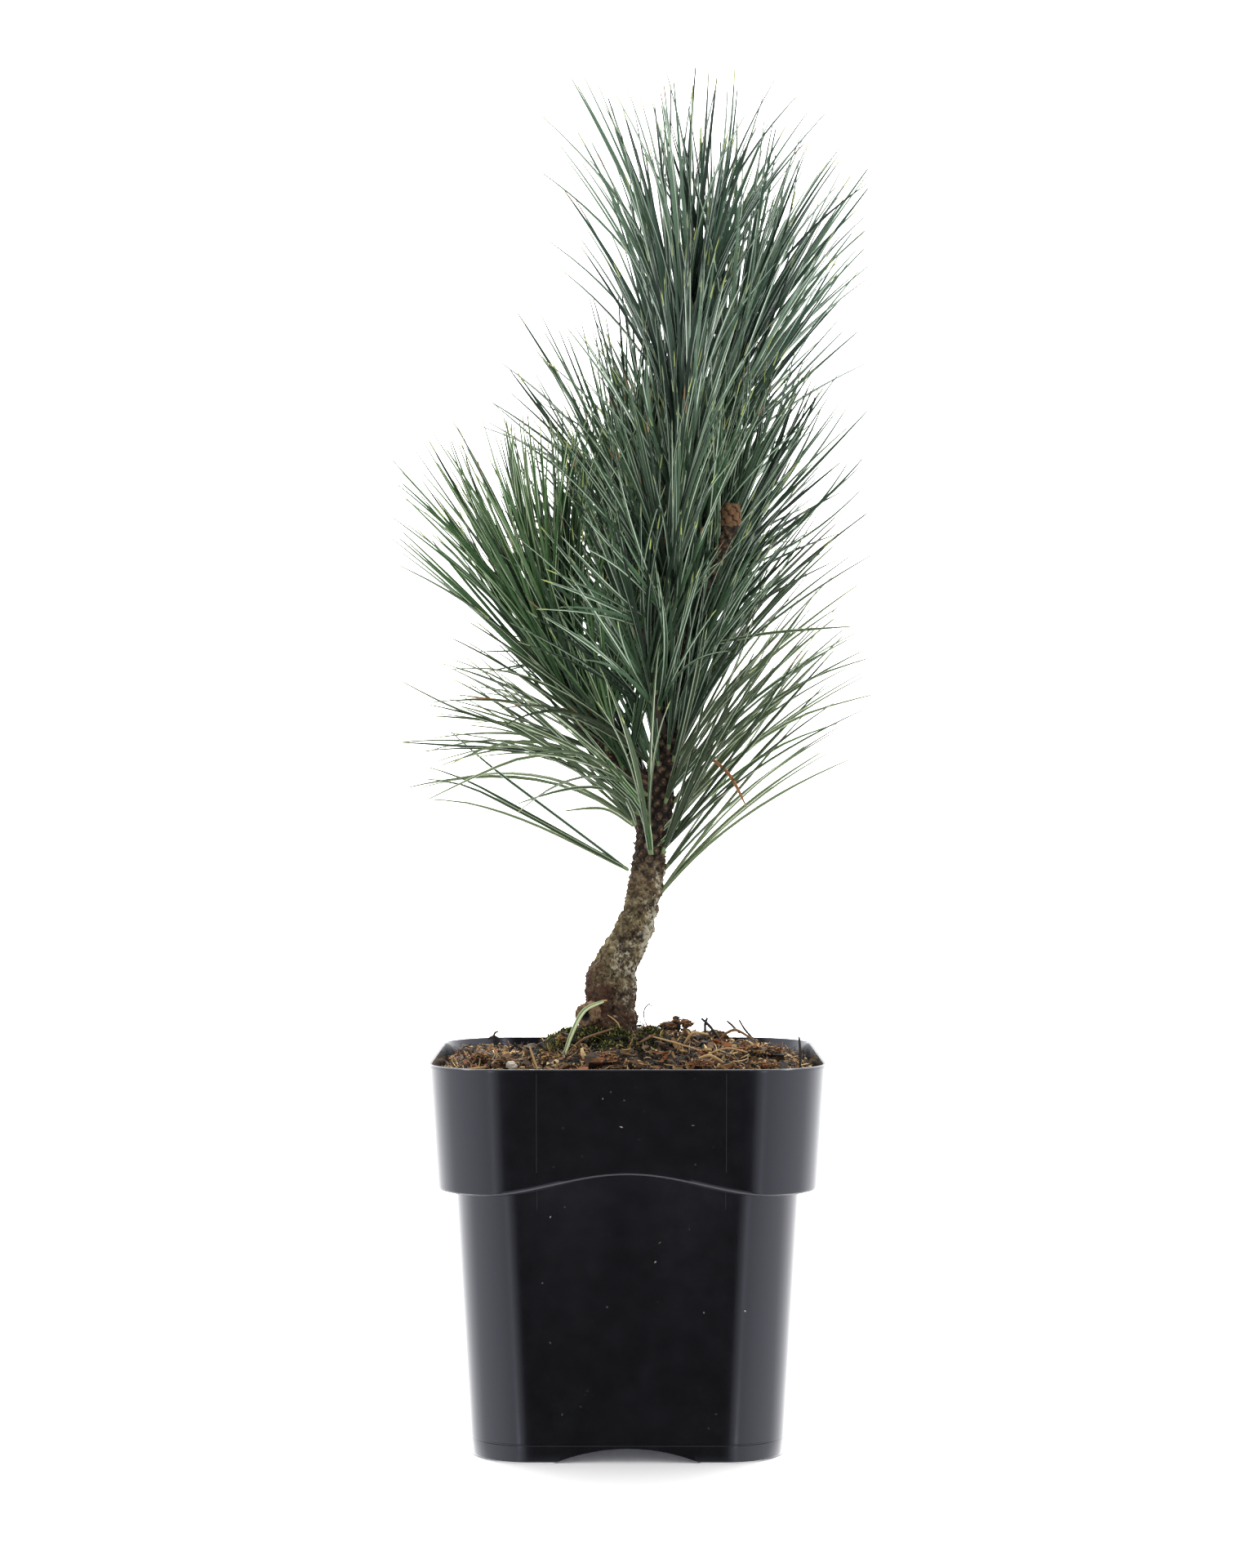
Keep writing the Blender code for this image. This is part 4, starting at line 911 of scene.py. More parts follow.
# The healed ring of a pruned branch, low on the left of the stem: a thick lip of bark
# round a small dark hollow. Also the loose bark scales and dry leaf scales on the stem.
STUB_START = (-10.2, -3.0, 143.0)
STUB_END = (-14.6, -10.4, 142.4)
STUB_RADIUS = 4.1
STUB_HOLLOW = 1.7
FLAKES = 1700
THORNS = 260
# The fourth scale tint is given only to scales on the stem's right (+X) side, as painted highlight.
FLAKE_TINTS = ("3c3126", "4b3f32", "5e5241", "7a705e", "251d16", "40291c")
stub_line = (Vector(STUB_END) - Vector(STUB_START)) * MM
bpy.ops.mesh.primitive_cylinder_add(
    vertices=56,
    radius=STUB_RADIUS * MM,
    depth=stub_line.length,
    location=Vector(STUB_START) * MM + stub_line / 2,
    rotation=stub_line.to_track_quat("Z", "Y").to_euler(),
)
stub = start_piece("branch_scar")
outward = stub_line.normalized()
stub_tip = Vector(STUB_END) * MM
pick(stub, "FACE", lambda face: face.normal.dot(outward) > 0.9)
bpy.ops.mesh.bevel(offset=1.1 * MM, segments=5)
pick(stub, "FACE", lambda face: face.normal.dot(outward) > 0.99)
bpy.ops.mesh.inset(thickness=STUB_RADIUS * MM - 1.1 * MM - STUB_HOLLOW * MM)
bpy.ops.mesh.extrude_region_move(TRANSFORM_OT_translate={"value": outward * -2.6 * MM})
bpy.ops.transform.resize(value=(0.55, 0.55, 0.55))
pick(stub, "EDGE", lambda edge: edge.calc_length() > 2.2 * MM)
bpy.ops.mesh.subdivide(number_cuts=9)
bpy.ops.object.mode_set(mode="OBJECT")
cracks = []
for vertex in stub.data.vertices:
    relief, crack, _ = bark_relief(vertex.co, 0, vertex.co.z / MM, 0)
    vertex.co += vertex.normal * relief * 0.7
    depth = (stub_tip - vertex.co).dot(outward) / MM
    middle = (vertex.co - stub_tip + outward * depth * MM).length / MM
    cracks.append(max(crack, 1.0 if middle < 2.1 else 0.0))
stub.data.attributes.new("crack", "FLOAT", "POINT").data.foreach_set("value", cracks)
# Bare callus bark: smoother and redder than the stem's, dark inside the hollow.
callus, tree, shader = new_material("callus_bark", "7b6045", 0.85)
place = add_node(tree, "ShaderNodeTexCoord").outputs["Object"]
grain = add_node(tree, "ShaderNodeTexNoise", {"Scale": 1 / (1.3 * MM), "Detail": 8.0, "Roughness": 0.7}, {"Vector": place})
worked = add_node(
    tree, "ShaderNodeMapRange", {"From Min": 0.36, "From Max": 0.64}, {"Value": grain.outputs["Fac"]}
)
tone = add_node(tree, "ShaderNodeMix", {"data_type": "RGBA"}, {0: worked.outputs[0]})
tone.inputs[6].default_value = linear("2c2017")
tone.inputs[7].default_value = linear("8f6f4d")
hollow = tinted(tone.outputs[2], "crack", 0.55, 1.0, 0.95, "150f0a")
tree.links.new(hollow, shader.inputs["Base Color"])
finish_piece(stub, 80, callus)

dice = random.Random(12)
flake_materials = []
for number, tint in enumerate(FLAKE_TINTS):
    material, tree, shader = new_material(f"bark_scale_{number}", tint, 0.9)
    flake_materials.append(material)
flake_store = ([], [], [])
for _ in range(FLAKES):
    height = 138 + (208 - 138) * dice.random() ** 1.15
    centre, radius = station(height)
    angle = dice.uniform(0, 2 * math.pi)
    out = Vector((math.cos(angle), math.sin(angle), 0))
    relief, _, _ = bark_relief(centre + out * radius, angle, height, 0)
    foot = centre + out * (radius + relief + 0.05 * MM)
    side = out.cross(Vector((0, 0, 1)))
    lift = (out * dice.uniform(-0.1, 0.5) + Vector((0, 0, dice.choice((-1, -1, 1))))).normalized()
    size = dice.uniform(0.2, 0.7) * MM
    outline = []
    for k in range(5):
        turn = 2 * math.pi * k / 5 + dice.uniform(-0.5, 0.5)
        outline.append((math.cos(turn) * size * dice.uniform(0.5, 1.1), math.sin(turn) * size * dice.uniform(0.7, 1.5)))
    points, faces = prism(outline, 0.16 * MM)
    face_out = side.cross(lift)
    placed = [foot + side * point.x + lift * point.y + face_out * point.z for point in points]
    # Painted highlight: a quarter of the scales on the right (+X) side take the pale fourth tint.
    lit = 3 if out.x > 0.1 and dice.random() < 0.25 else dice.choice((0, 0, 1, 1, 2, 4, 4))
    if height < 157 + dice.gauss(0, 3):
        lit = dice.choice((5, 5, 0, 4, 4))
    add_shape(flake_store, placed, faces, lit if height < 186 else dice.choice((4, 4, 0, 5)))
for k in range(THORNS):
    limb = dice.choice(("trunk", "trunk", "trunk", "left_bough", "right_bough"))
    if limb == "trunk":
        centre, radius = station(dice.uniform(192, 318))
    else:
        centre, radius, _ = read_line(*bough_lines[limb], dice.uniform(0.15, 0.97))
    angle = dice.uniform(0, 2 * math.pi)
    out = Vector((math.cos(angle), math.sin(angle), 0))
    way = (out + Vector((dice.gauss(0, 0.3), dice.gauss(0, 0.3), dice.uniform(0.1, 0.9)))).normalized()
    foot = centre + out * radius * 0.9
    long = dice.uniform(1.0, 2.9) * MM
    line = [foot, foot + way * long * 0.5, foot + way * long]
    add_tube(flake_store, line, [0.5 * MM, 0.34 * MM, 0.04 * MM], 4, dice.choice((0, 4, 5, 5, 2)))
flakes = joined_mesh("bark_scales", *flake_store, flake_materials)
finish_piece(flakes, 30)

# The needles: five to a bundle, three-sided, 70 to 90 mm long and a little over 1 mm wide.
# Their outer faces are blue green under a waxy bloom, their two inner faces paler.
NEEDLE_WIDTH = 1.22 * MM
# How far along a needle each ring of its mesh lies: close at its foot and at its tip.
NEEDLE_STOPS = (0.0, 0.03, 0.1, 0.19, 0.28, 0.37, 0.46, 0.55, 0.64, 0.73, 0.82, 0.92, 0.97, 1.0)
BUNDLE = 5
FAN = 2.4
# No needle reaches further than this to the left and right, in millimetres.
REACH = (-84, 90)
SHOOTS = (
    ("needles_top", "leader", None, None, 88, 31, 8, 17, 0.16, "blue"),
    ("needles_top_right", 308, (28, 6, 321), (38, 9, 376), 86, 36, 20, 18, 0.24, "blue"),
    ("needles_middle_left", 262, (6, 6, 272), (1, 8, 322), 82, 23, 24, 18, 0.25, "deep"),
    ("needles_left", "left_bough", (-20.5, -6, 253), (-25.5, -8, 270), 86, 32, 16, 20, 0.10, "fresh"),
    ("needles_right_middle", 284, (29, 4, 290), (34.5, 3, 306), 76, 16, 32, 12, 0.14, "deep"),
    ("needles_right_low", 239, (24, 5, 250), (25.5, 8, 268), 80, 7, 30, 18, 0.18, "grey"),
    ("needles_front_low", 236, (8, -16, 245), (5.5, -20, 264), 74, 14, 32, 8, 0.20, "deep"),
    ("needles_front_middle", 262, (14, -20, 272), (13.5, -25, 296), 72, 16, 30, 10, 0.20, "deep"),
    ("needles_front_high", 302, (19, -16, 314), (18.5, -19, 344), 76, 14, 13, 12, 0.16, "blue"),
    ("needles_back_low", 236, (9, 18, 245), (6, 25, 265), 79, 12, 34, 8, 0.25, "deep"),
    ("needles_back_left", 254, (-2, 22, 264), (-5, 28, 286), 76, 12, 30, 10, 0.25, "fresh"),
    ("needles_back_middle", 268, (25, 20, 280), (26, 28, 306), 76, 13, 30, 10, 0.22, "blue"),
    ("needles_back_high", 300, (12, 17, 314), (11, 21, 345), 78, 9, 9, 9, 0.12, "blue"),
)
# A steady pull on the needles of some shoots, towards the light or the open side.
PULLS = {
    "needles_top_right": (0.12, 0, 0.14), "needles_back_high": (0.12, 0.1, 0), "needles_left": (-0.03, 0, 0.12),
    "needles_middle_left": (0.02, 0, 0.06), "needles_right_low": (-0.05, 0, 0.1),
    "needles_right_middle": (-0.16, 0, 0.5),
}
FASCICLES = (
    ("fascicle_right_1", 183.5, -8, 53, 80, 0.10), ("fascicle_right_2", 191.0, 18, 51, 87, 0.04),
    ("fascicle_right_3", 199.0, -22, 49, 89, 0.06), ("fascicle_right_4", 207.0, 6, 50, 88, 0.10),
    ("fascicle_right_5", 214.0, -12, 53, 87, 0.12), ("fascicle_right_6", 222.0, 24, 51, 88, 0.12),
    ("fascicle_right_7", 230.0, -6, 56, 84, 0.12), ("fascicle_left_1", 191.5, 186, 44, 80, 0.75),
    ("fascicle_left_2", 206.0, 168, 58, 84, 0.72), ("fascicle_left_3", 211.0, 196, 56, 84, 0.80),
    ("fascicle_left_4", 215.0, 150, 54, 84, 0.60), ("fascicle_front_1", 199.0, 262, 64, 72, 0.25),
    ("fascicle_front_2", 214.0, 300, 58, 78, 0.30), ("fascicle_back_1", 201.0, 112, 50, 80, 0.45),
    ("fascicle_back_2", 213.0, 70, 52, 82, 0.35), ("fascicle_back_3", 222.0, 134, 52, 80, 0.40),
)
# Bundles that stand on a limb's own bark: group, limb, where from and to, how many, from
# and to which bearing, rise, length, bow outwards, sag and tint.
LIMB_BUNDLES = (
    ("needles_middle_left", "trunk", 232, 318, 9, 120, 250, 72, 76, 0.25, 0.10, "deep"),
    ("needles_middle_left", "trunk", 206, 228, 7, 165, 235, 38, 88, 0.30, 0.46, "grey"),
    ("needles_middle_left", "trunk", 216, 240, 4, 180, 290, 72, 74, 0.20, 0.10, "deep"),
    ("needles_right_middle", "trunk", 244, 312, 8, -60, 60, 68, 74, 0.14, 0.08, "deep"),
    ("needles_right_middle", "trunk", 246, 284, 6, -60, 50, 50, 66, 0.05, 0.02, "deep"),
    ("needles_right_middle", "trunk", 226, 262, 7, -60, 40, 66, 74, 0.10, 0.04, "deep"),
    ("needles_front_middle", "trunk", 226, 300, 19, 205, 320, 70, 74, 0.25, 0.10, "deep"),
    ("needles_back_middle", "trunk", 230, 312, 9, 50, 130, 66, 76, 0.25, 0.12, "deep"),
    ("needles_right_low", "trunk", 194, 236, 4, -45, 40, 54, 84, 0.04, 0.02, "grey"),
    ("needles_left", "left_bough", 0.25, 1.0, 10, 190, 340, 72, 76, 0.20, 0.06, "fresh"),
    ("needles_left", "left_bough", 0.6, 1.0, 5, 150, 215, 66, 82, 0.04, 0.0, "fresh"),
    ("needles_left", "left_bough", 0.0, 0.5, 6, 140, 250, 64, 72, 0.20, 0.12, "fresh"),
    ("needles_right_middle", "right_bough", 0.1, 0.9, 9, 220, 350, 70, 70, 0.25, 0.10, "deep"),
)
# Outer face and pale band of each tint of needle, then the marks that all needles share.
NEEDLE_TINTS = {
    "blue_a": ("304638", "adbbae"), "blue_b": ("1b2a21", "8b9b8e"), "blue_c": ("4c624f", "c4cfc1"),
    "deep_a": ("18271b", "7d8f7c"), "deep_b": ("283c29", "98a995"), "deep_c": ("3b533b", "b2c0ad"),
    "fresh_a": ("2f4a29", "98aa88"), "fresh_b": ("45603a", "b7c5a5"), "fresh_c": ("1c301c", "7b9070"),
    "grey_a": ("3f4e37", "a6b197"), "grey_b": ("586549", "bdc6ad"), "grey_c": ("283322", "828f75"),
    "dead_a": ("6e4628", "8d6440"),
}
MARKS = {"needle_foot": "5f6f48", "needle_tip": "6f7a55", "yellow_tip": "8b9653", "brown_tip": "6b5238"}
needle_slots = {}
needle_materials = []
for name, (outer, band) in NEEDLE_TINTS.items():
    for face, colour in (("outer", outer), ("band", band)):
        material, tree, shader = new_material(f"{name}_{face}", colour, 0.38 if face == "outer" else 0.6)
        shader.inputs["Specular IOR Level"].default_value = 0.22
        needle_slots[name, face] = len(needle_materials)
        needle_materials.append(material)
for name, colour in MARKS.items():
    material, tree, shader = new_material(name, colour, 0.5)
    needle_slots[name] = len(needle_materials)
    needle_materials.append(material)


def needle_line(root, direction, bow, length):
    """A needle's middle line: it leaves along direction and turns towards bow."""
    points = [root]
    for low, high in zip(NEEDLE_STOPS, NEEDLE_STOPS[1:]):
        heading = (direction + bow * (low + high) / 2).normalized()
        points.append(points[-1] + heading * length * (high - low))
    return points


def clears_limbs(points):
    """Whether a needle stays in reach, off the trunk past its foot, above the mulch, and off
    the knob at the right bough's tip, which stands bare towards the front."""
    for point in points[2:]:
        height = point.z / MM
        beside = abs(point.x / MM - KNOB_TIP[0])
        if not REACH[0] < point.x / MM < REACH[1]:
            return False
        if height < 150 or (beside < 4.5 and 303 < height < 319 and point.y / MM < KNOB_TIP[1]):
            return False
        if height < TRUNK_STATIONS[-1][0]:
            centre, radius = station(height)
            if (point - centre).length < radius + 1.0 * MM:
                return False
    return True


# The section of a needle: a fifth of a circle, its ridge towards the bundle's middle. A
# pale band of wax runs along the outer part of each inner face.
SECTION = ((-0.36, 0.0), (-0.04, -0.32), (0.15, -0.5), (0.34, -0.2), (0.34, 0.2), (0.15, 0.5), (-0.04, 0.32))
SECTION_FACES = ("outer", "band", "outer", "outer", "outer", "band", "outer")


def add_needle(store, points, outward, width, tint, tip):
    """One needle as a tapering three-sided blade, with its tints by face and by stretch."""
    first = len(store[0])
    last = len(points) - 1
    count = len(SECTION)
    for i, point in enumerate(points[:-1]):
        along = (points[i + 1] - points[max(i - 1, 0)]).normalized()
        out = (outward - along * outward.dot(along)).normalized()
        side = along.cross(out)
        share = NEEDLE_STOPS[i]
        size = width * min(0.7 + share * 3, 1.0, 0.28 + (1 - share) * 1.9)
        for depth, across in SECTION:
            store[0].append(point + (out * depth + side * across) * size)
    store[0].append(points[-1])
    for i in range(last - 1):
        for k in range(count):
            a, b = first + i * count + k, first + i * count + (k + 1) % count
            store[1].append((a, b, b + count, a + count))
            if i == 0:
                store[2].append(needle_slots["needle_foot"])
            elif i == last - 2 and tip:
                store[2].append(needle_slots[tip])
            else:
                store[2].append(needle_slots[tint, SECTION_FACES[k]])
    top = first + (last - 1) * count
    for k in range(count):
        store[1].append((top + k, top + (k + 1) % count, first + last * count))
        store[2].append(needle_slots[tip or "needle_tip"])
    store[1].append(tuple(range(first + count - 1, first - 1, -1)))
    store[2].append(needle_slots["needle_foot"])


def add_bundle(store, root, direction, bow, length, family, dice, spurs):
    """A bundle of five needles that part slowly, on a short brown spur."""
    side, up = frame_along(direction)
    turn = dice.uniform(0, 2 * math.pi)
    tint = "dead_a" if family == "dead" else family + dice.choice(("_a", "_b", "_c"))
    for k in range(BUNDLE):
        angle = turn + 2 * math.pi * k / BUNDLE
        outward = side * math.cos(angle) + up * math.sin(angle)
        fan = math.tan(math.radians(FAN)) * dice.uniform(0.35, 1.35)
        heading = (direction + outward * fan).normalized()
        wave = Vector((dice.gauss(0, 0.13), dice.gauss(0, 0.13), dice.gauss(0, 0.08)))
        own_bow = bow * dice.uniform(0.3, 1.7) + outward * dice.uniform(0.05, 0.42) + wave
        own_length = length * dice.uniform(0.9, 1.03)
        start = root + outward * 0.34 * MM
        points = needle_line(start, heading, own_bow, own_length)
        if not clears_limbs(points):
            continue
        tip = dice.choices(("needle_tip", "yellow_tip", "brown_tip", None), (3, 2, 0.5, 4))[0]
        add_needle(store, points, outward, NEEDLE_WIDTH * dice.uniform(0.88, 1.08), tint, tip)
    spurs.append((root, direction))


def shoot_line(root, bend, apex):
    """The shoot's middle line, from its root to its apex."""
    if root == "leader":
        heights = [332 + (381 - 332) * k / 8 for k in range(9)]
        return [station(height)[0] for height in heights] + [station(381)[0] + Vector((0, 0, 3.5)) * MM]
    if root == "left_bough":
        start = Vector(LEFT_BOUGH[2]) * MM
    else:
        start = station(root)[0]
    return sweep(start, Vector(bend) * MM, Vector(apex) * MM, 9)


stores = {}
spurs = []
shoot_lines = []
for seed, (name, root, bend, apex, length, bundles, low, top, bow_out, family) in enumerate(SHOOTS, 1):
    store = stores.setdefault(name, ([], [], []))
    line = shoot_line(root, bend, apex)
    thick = 3.6 if root == "leader" else 2.0
    shoot_lines.append((name, line, thick))
    dice = random.Random(seed)
    first = 0.3 if isinstance(root, int) else 0.06
    for k in range(bundles):
        along = first + (1 - first) * ((k + dice.random()) / bundles) ** 0.8
        centre, _, axis = read_line(line, [0.0] * len(line), along)
        side, up = frame_along(axis)
        turn = k * GOLDEN_ANGLE + dice.uniform(-0.35, 0.35)
        radial = side * math.cos(turn) + up * math.sin(turn)
        angle = math.radians(low + (top - low) * along + dice.gauss(0, 6.5))
        direction = axis * math.cos(angle) + radial * math.sin(angle)
        direction = (direction + axis.cross(radial) * dice.gauss(0, 0.12)).normalized()
        bow = radial * bow_out * 2 * math.sin(max(angle, 0.15)) * dice.uniform(0.2, 1.7)
        bow += Vector(PULLS.get(name, (0, 0, 0))) - Vector((0, 0, 0.08 * dice.uniform(0.2, 1.8)))
        foot = centre + radial * thick * 0.7 * MM
        add_bundle(store, foot, direction, bow, length * MM * dice.uniform(0.86, 1.04), family, dice, spurs)
for seed, (name, height, bearing, rise, length, sag) in enumerate(FASCICLES, 100):
    store = stores.setdefault(name, ([], [], []))
    if name == "fascicle_left_1":
        # Its needles are laid one by one further down.
        continue
    dice = random.Random(seed)
    angle, lift = math.radians(bearing), math.radians(rise)
    out = Vector((math.cos(angle), math.sin(angle), 0))
    direction = out * math.cos(lift) + Vector((0, 0, math.sin(lift)))
    centre, radius = station(height)
    bow = out * 0.25 - Vector((0, 0, sag))
    foot = centre + out * (radius + 0.2 * MM)
    add_bundle(store, foot, direction, bow, length * MM, "grey", dice, spurs)

for seed, (name, limb, low, high, count, left, right, rise, length, bow_out, sag, family) in enumerate(LIMB_BUNDLES, 200):
    store = stores[name]
    dice = random.Random(seed)
    for k in range(count):
        place = low + (high - low) * (k + dice.random()) / count
        centre, radius = station(place) if limb == "trunk" else read_line(*bough_lines[limb], place)[:2]
        angle = math.radians(left + (right - left) * ((k * 0.618034 + dice.uniform(0, 0.1)) % 1.0))
        lift = math.radians(rise + dice.gauss(0, 6))
        out = Vector((math.cos(angle), math.sin(angle), 0))
        direction = out * math.cos(lift) + Vector((0, 0, math.sin(lift)))
        bow = out * bow_out * dice.uniform(0.5, 1.4) - Vector((0, 0, sag * dice.uniform(0.4, 1.6)))
        foot = centre + out * (radius + 0.1 * MM)
        add_bundle(store, foot, direction, bow, length * MM * dice.uniform(0.93, 1.03), family, dice, spurs)

# Needles that can be told apart in the low part of the crown, each laid through its own
# places: points from foot to tip in millimetres, then its tint.
SINGLE_NEEDLES = (
    (((-1.5, -6, 220.7), (-23.8, -8, 230.4), (-56.6, -9, 233.2), (-79.2, -9, 234.6)), "deep_a"),
    (((0.4, -6, 220.4), (-19.3, -7, 233.2), (-54.9, -8, 244.6), (-77.5, -8, 255.7)), "grey_a"),
    (((0.4, -6, 191.2), (-36.3, -8, 210.9), (-54.9, -9, 219.8), (-70.2, -9, 222.3)), "grey_c"),
    (((0.2, -5, 191.6), (-36.6, -5, 212.0), (-55.3, -5, 221.9), (-69.0, -5, 226.5)), "fresh_c"),
    (((0.4, -5, 191.2), (-23.8, -5, 209.3), (-46.0, -4, 226.0), (-61.3, -3, 239.3)), "deep_b"),
    (((1.8, -6, 220.4), (-14.9, -9, 229.6), (-32.7, -10, 229.6), (-46.0, -10, 225.4), (-68.6, -9, 214.6)), "grey_b"),
    (((3.0, -6, 206.5), (-1.5, -9, 216.2), (-12.1, -11, 219.3), (-23.8, -12, 217.9), (-38.0, -12, 213.4)), "grey_a"),
    (((2.0, -6, 206.0), (-8.0, -9, 212.0), (-22.0, -11, 211.2)), "grey_b"),
    (((8.0, -6.5, 196.5), (5.0, -12, 212.0), (-3.0, -16, 222.0), (-11.0, -19, 230.5), (-23.0, -22, 241.0)), "fresh_b"),
    (((8.4, -6.5, 196.5), (5.8, -12.5, 212.0), (-2.0, -17, 222.5), (-9.0, -20, 231.5), (-19.0, -24, 244.0)), "fresh_a"),
    (((7.6, -6.3, 196.5), (4.2, -11.5, 211.5), (-4.2, -15.5, 220.5), (-13.5, -18, 228.0), (-27.0, -21, 236.5)), "fresh_c"),
    (((28.2, -4, 267.7), (48.0, -6, 271.5), (76.9, -7, 273.8)), "grey_a"),
    (((-6.0, -8, 244.0), (-26.0, -10, 246.0), (-57.0, -12, 250.5)), "dead_a"),
    (((0.4, -6, 191.0), (-30.0, -7, 206.0), (-52.0, -7, 213.5), (-67.5, -7, 215.2)), "grey_b"),
    (((10.2, -5, 203.0), (34.0, -6, 227.0), (58.0, -7, 243.0), (84.4, -8, 251.0)), "grey_b"),
    (((9.6, -5, 199.0), (32.0, -6, 220.0), (52.0, -8, 233.5), (72.2, -8, 241.3)), "fresh_b"),
    (((12.6, -4, 216.0), (38.0, -5, 241.0), (62.0, -6, 256.0), (83.3, -6, 263.5)), "grey_a"),
    (((12.8, -5, 215.6), (36.0, -7, 243.0), (55.0, -8, 258.0), (76.0, -9, 270.0)), "deep_c"),
    (((28.2, -12, 229.0), (34.6, -13, 223.0), (40.3, -14, 212.0)), "dead_a"),
)
singles = stores.setdefault("single_needles", ([], [], []))
for corners, tint in SINGLE_NEEDLES:
    line = smooth_line([Vector(corner) * MM for corner in corners], 12)
    reach = [0.0]
    for before, after in zip(line, line[1:]):
        reach.append(reach[-1] + (after - before).length)
    points = []
    for stop in NEEDLE_STOPS:
        goal = stop * reach[-1]
        k = next(i for i in range(1, len(reach)) if reach[i] >= goal - 1e-9)
        share = (goal - reach[k - 1]) / max(reach[k] - reach[k - 1], 1e-9)
        points.append(line[k - 1].lerp(line[k], share))
    add_needle(singles, points, Vector((0.2, 1, 0.3)), NEEDLE_WIDTH, tint, "needle_tip")

NEEDLE_GROUPS = {
    "needles_of_the_top": ("needles_top", "needles_top_right", "needles_front_high", "needles_back_high"),
    "needles_of_the_left": ("needles_middle_left", "needles_left", "needles_back_left"),
    "needles_of_the_right": ("needles_right_middle", "needles_right_low", "needles_back_middle"),
    "needles_of_the_middle": ("needles_front_low", "needles_front_middle", "needles_back_low"),
    "needles_on_the_stem": (*(row[0] for row in FASCICLES), "single_needles"),
}
for group, members in NEEDLE_GROUPS.items():
    store = ([], [], [])
    for member in members:
        points, faces, tints = stores[member]
        shift = len(store[0])
        store[0].extend(points)
        store[1].extend([tuple(index + shift for index in face) for face in faces])
        store[2].extend(tints)
    needles = joined_mesh(group, *store, needle_materials)
    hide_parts(*(member for member in members if member != "single_needles"))
    finish_piece(needles, 50)

# The shoots that carry the needles: grey brown twigs with a spur of dry scales under each
# bundle, and a pointed brown bud at each apex.
TWIG_TINTS = ("2f251b", "3e3022", "6d4326")
twig_materials = []
for number, tint in enumerate(TWIG_TINTS):
    material, tree, shader = new_material(f"twig_bark_{number}", tint, 0.8)
    twig_materials.append(material)


twig_store = ([], [], [])
dice = random.Random(31)
for name, line, thick in shoot_lines:
    radii = [(thick - 0.9 * k / (len(line) - 1)) * MM for k in range(len(line))]
    if name == "needles_top":
        radii = [station(point.z / MM)[1] + 1.7 * MM for point in line]
    add_tube(twig_store, line, radii, 10, 0)
    tip, along = line[-1], (line[-1] - line[-2]).normalized()
    bud = [tip + along * step * MM for step in (-1.0, 1.0, 3.0, 5.5, 7.5, 8.6)]
    add_tube(twig_store, bud, [size * MM for size in (1.2, 1.9, 2.2, 1.7, 0.9, 0.15)], 9, 2)
for root, direction in spurs:
    spur = [root - direction * 2.2 * MM, root - direction * 0.3 * MM, root + direction * 0.5 * MM]
    add_tube(twig_store, spur, [0.9 * MM, 0.8 * MM, 0.5 * MM], 7, dice.choice((0, 0, 1)))
twigs = joined_mesh("twigs_and_buds", *twig_store, twig_materials)
finish_piece(twigs, 50)

# The studio: a plain pale floor, a bright white surround behind and beside the plant, and
# soft lamps. The camera stands level in front of the pot, a little above its rim.
bpy.ops.mesh.primitive_plane_add(size=4, location=(0, 0, 0))
floor = start_piece("floor")
pale, tree, shader = new_material("floor_paint", "fafafa", 0.9)
floor.data.materials.append(pale)
floor.visible_glossy = False

CAMERA_PLACE = (0, -1.070, 0.2204)
LENS = 72.1
bpy.ops.object.camera_add(location=CAMERA_PLACE, rotation=(math.pi / 2, 0, 0))
camera = bpy.context.object
camera.data.lens = LENS
camera.data.clip_start = 0.01
bpy.context.scene.camera = camera

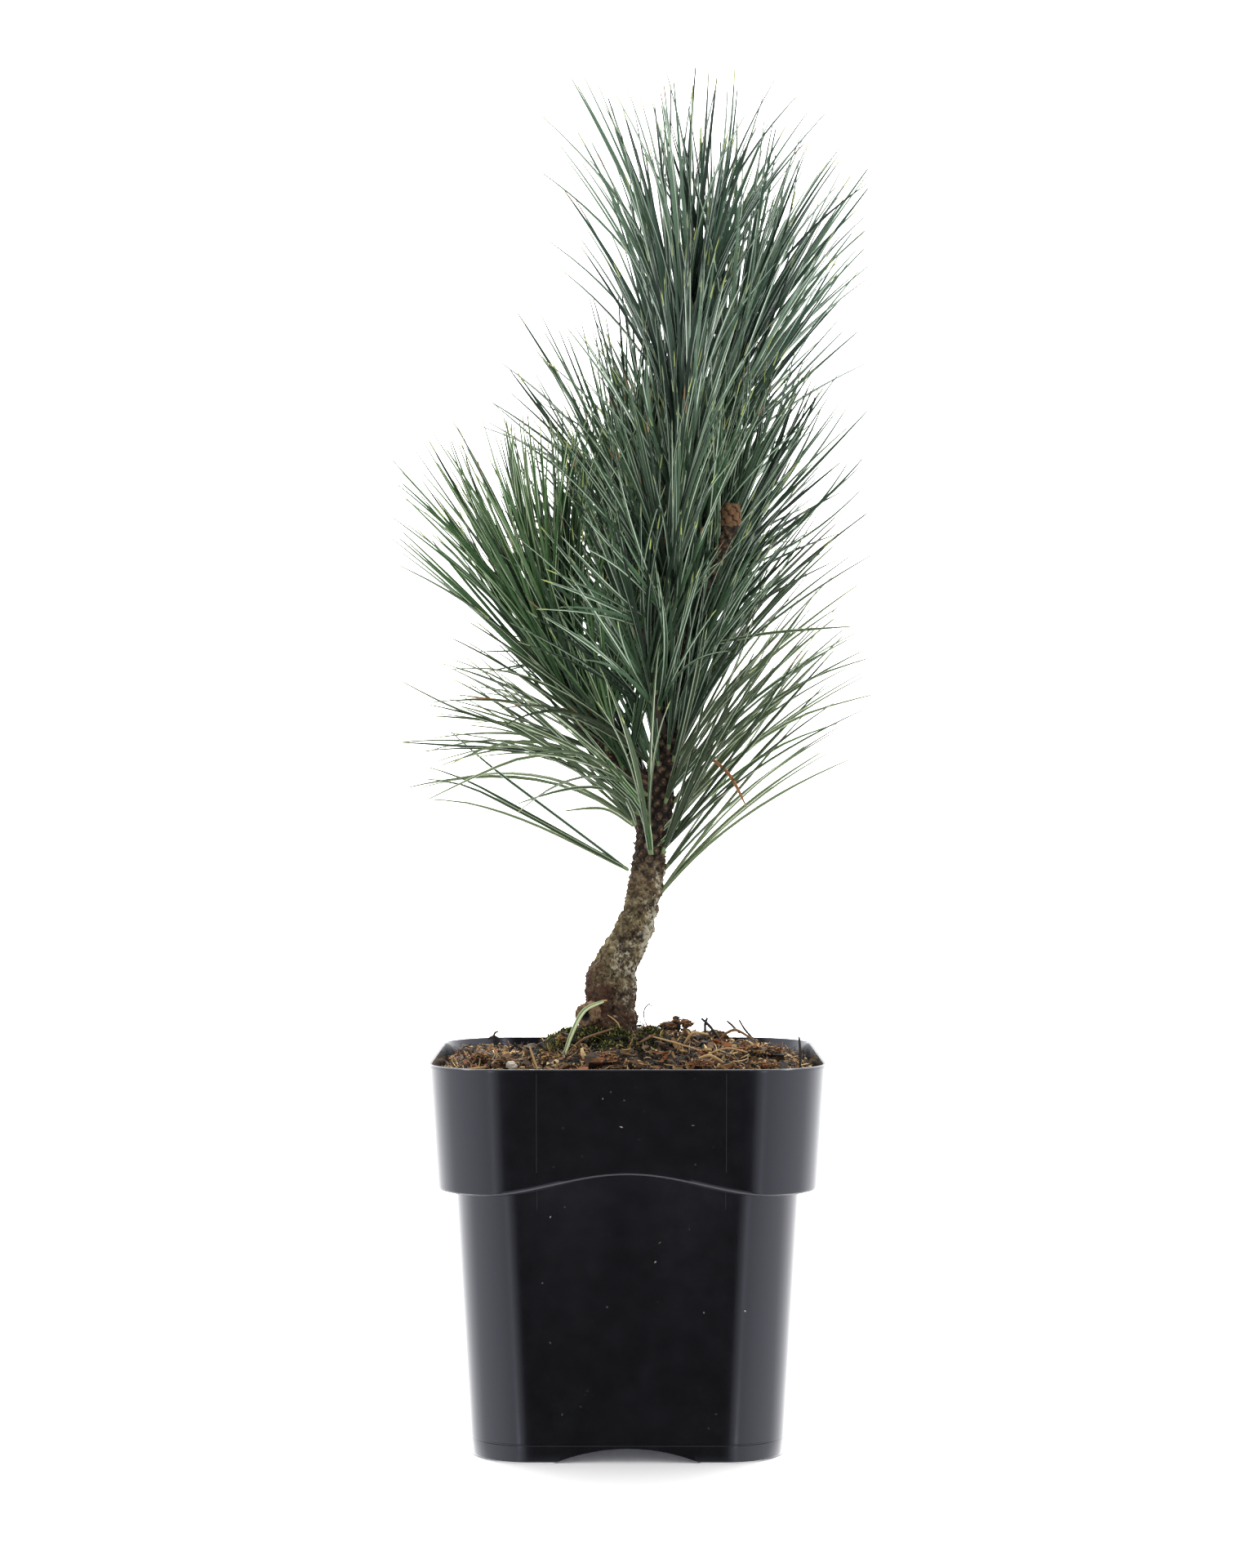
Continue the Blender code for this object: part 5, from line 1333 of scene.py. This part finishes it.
# Where each lamp hangs, what it is aimed at, its power, width, height and spread in
# degrees: two tall strips that draw the streaks on the pot's corners, and one over the floor.
LAMPS = (
    ((-0.52, -1.53, 0.2), (0, 0, 0.1), 1.6, 0.06, 1.5, 180),
    ((0.52, -1.53, 0.2), (0, 0, 0.1), 1.6, 0.06, 1.5, 180),
    ((0.0, 1.2, 1.7), (0, 1.2, 0), 55, 1.8, 1.8, 90),
)
for place, aim, power, wide, high, spread in LAMPS:
    bpy.ops.object.light_add(type="AREA", location=place)
    lamp = bpy.context.object
    lamp.data.energy = power
    lamp.data.shape = "RECTANGLE"
    lamp.data.size = wide
    lamp.data.size_y = high
    lamp.data.spread = math.radians(spread)
    lamp.rotation_euler = (Vector(aim) - Vector(place)).to_track_quat("-Z", "Y").to_euler()

world = bpy.data.worlds.new("studio")
world.use_nodes = True
tree = world.node_tree
back = tree.nodes["Background"]
where = add_node(tree, "ShaderNodeTexCoord").outputs["Generated"]
split = add_node(tree, "ShaderNodeSeparateXYZ", None, {"Vector": where})
sideways = add_node(tree, "ShaderNodeMath", {"operation": "ABSOLUTE"}, {0: split.outputs["X"]})
beside = add_node(tree, "ShaderNodeValToRGB", None, {"Fac": sideways.outputs[0]})
beside.color_ramp.elements[0].position = 0.06
beside.color_ramp.elements[0].color = (0, 0, 0, 1)
beside.color_ramp.elements[1].color = (2.0, 2.0, 2.0, 1)
for position, level in ((0.24, 1.2), (0.3, 1.9), (0.36, 1.25)):
    stop = beside.color_ramp.elements.new(position)
    stop.color = (level, level, level, 1)
above = add_node(
    tree, "ShaderNodeMapRange", {"From Min": -0.85, "From Max": -0.6}, {"Value": split.outputs["Y"]}
)
lit = add_node(tree, "ShaderNodeMath", {"operation": "MAXIMUM"}, {0: beside.outputs[0], 1: above.outputs[0]})
behind = add_node(
    tree, "ShaderNodeMapRange", {"From Min": 0.1, "From Max": 0.95, "To Max": 2.4}, {"Value": split.outputs["Y"]}
)
surround = add_node(tree, "ShaderNodeMath", {"operation": "ADD"}, {0: lit.outputs[0], 1: behind.outputs[0]})
seen = add_node(tree, "ShaderNodeLightPath").outputs["Is Camera Ray"]
shown = add_node(tree, "ShaderNodeMath", {"operation": "MAXIMUM"}, {0: surround.outputs[0], 1: seen})
tree.links.new(shown.outputs[0], back.inputs["Strength"])
back.inputs["Color"].default_value = (1, 1, 1, 1)
bpy.context.scene.world = world
bpy.context.scene.view_settings.view_transform = "Standard"
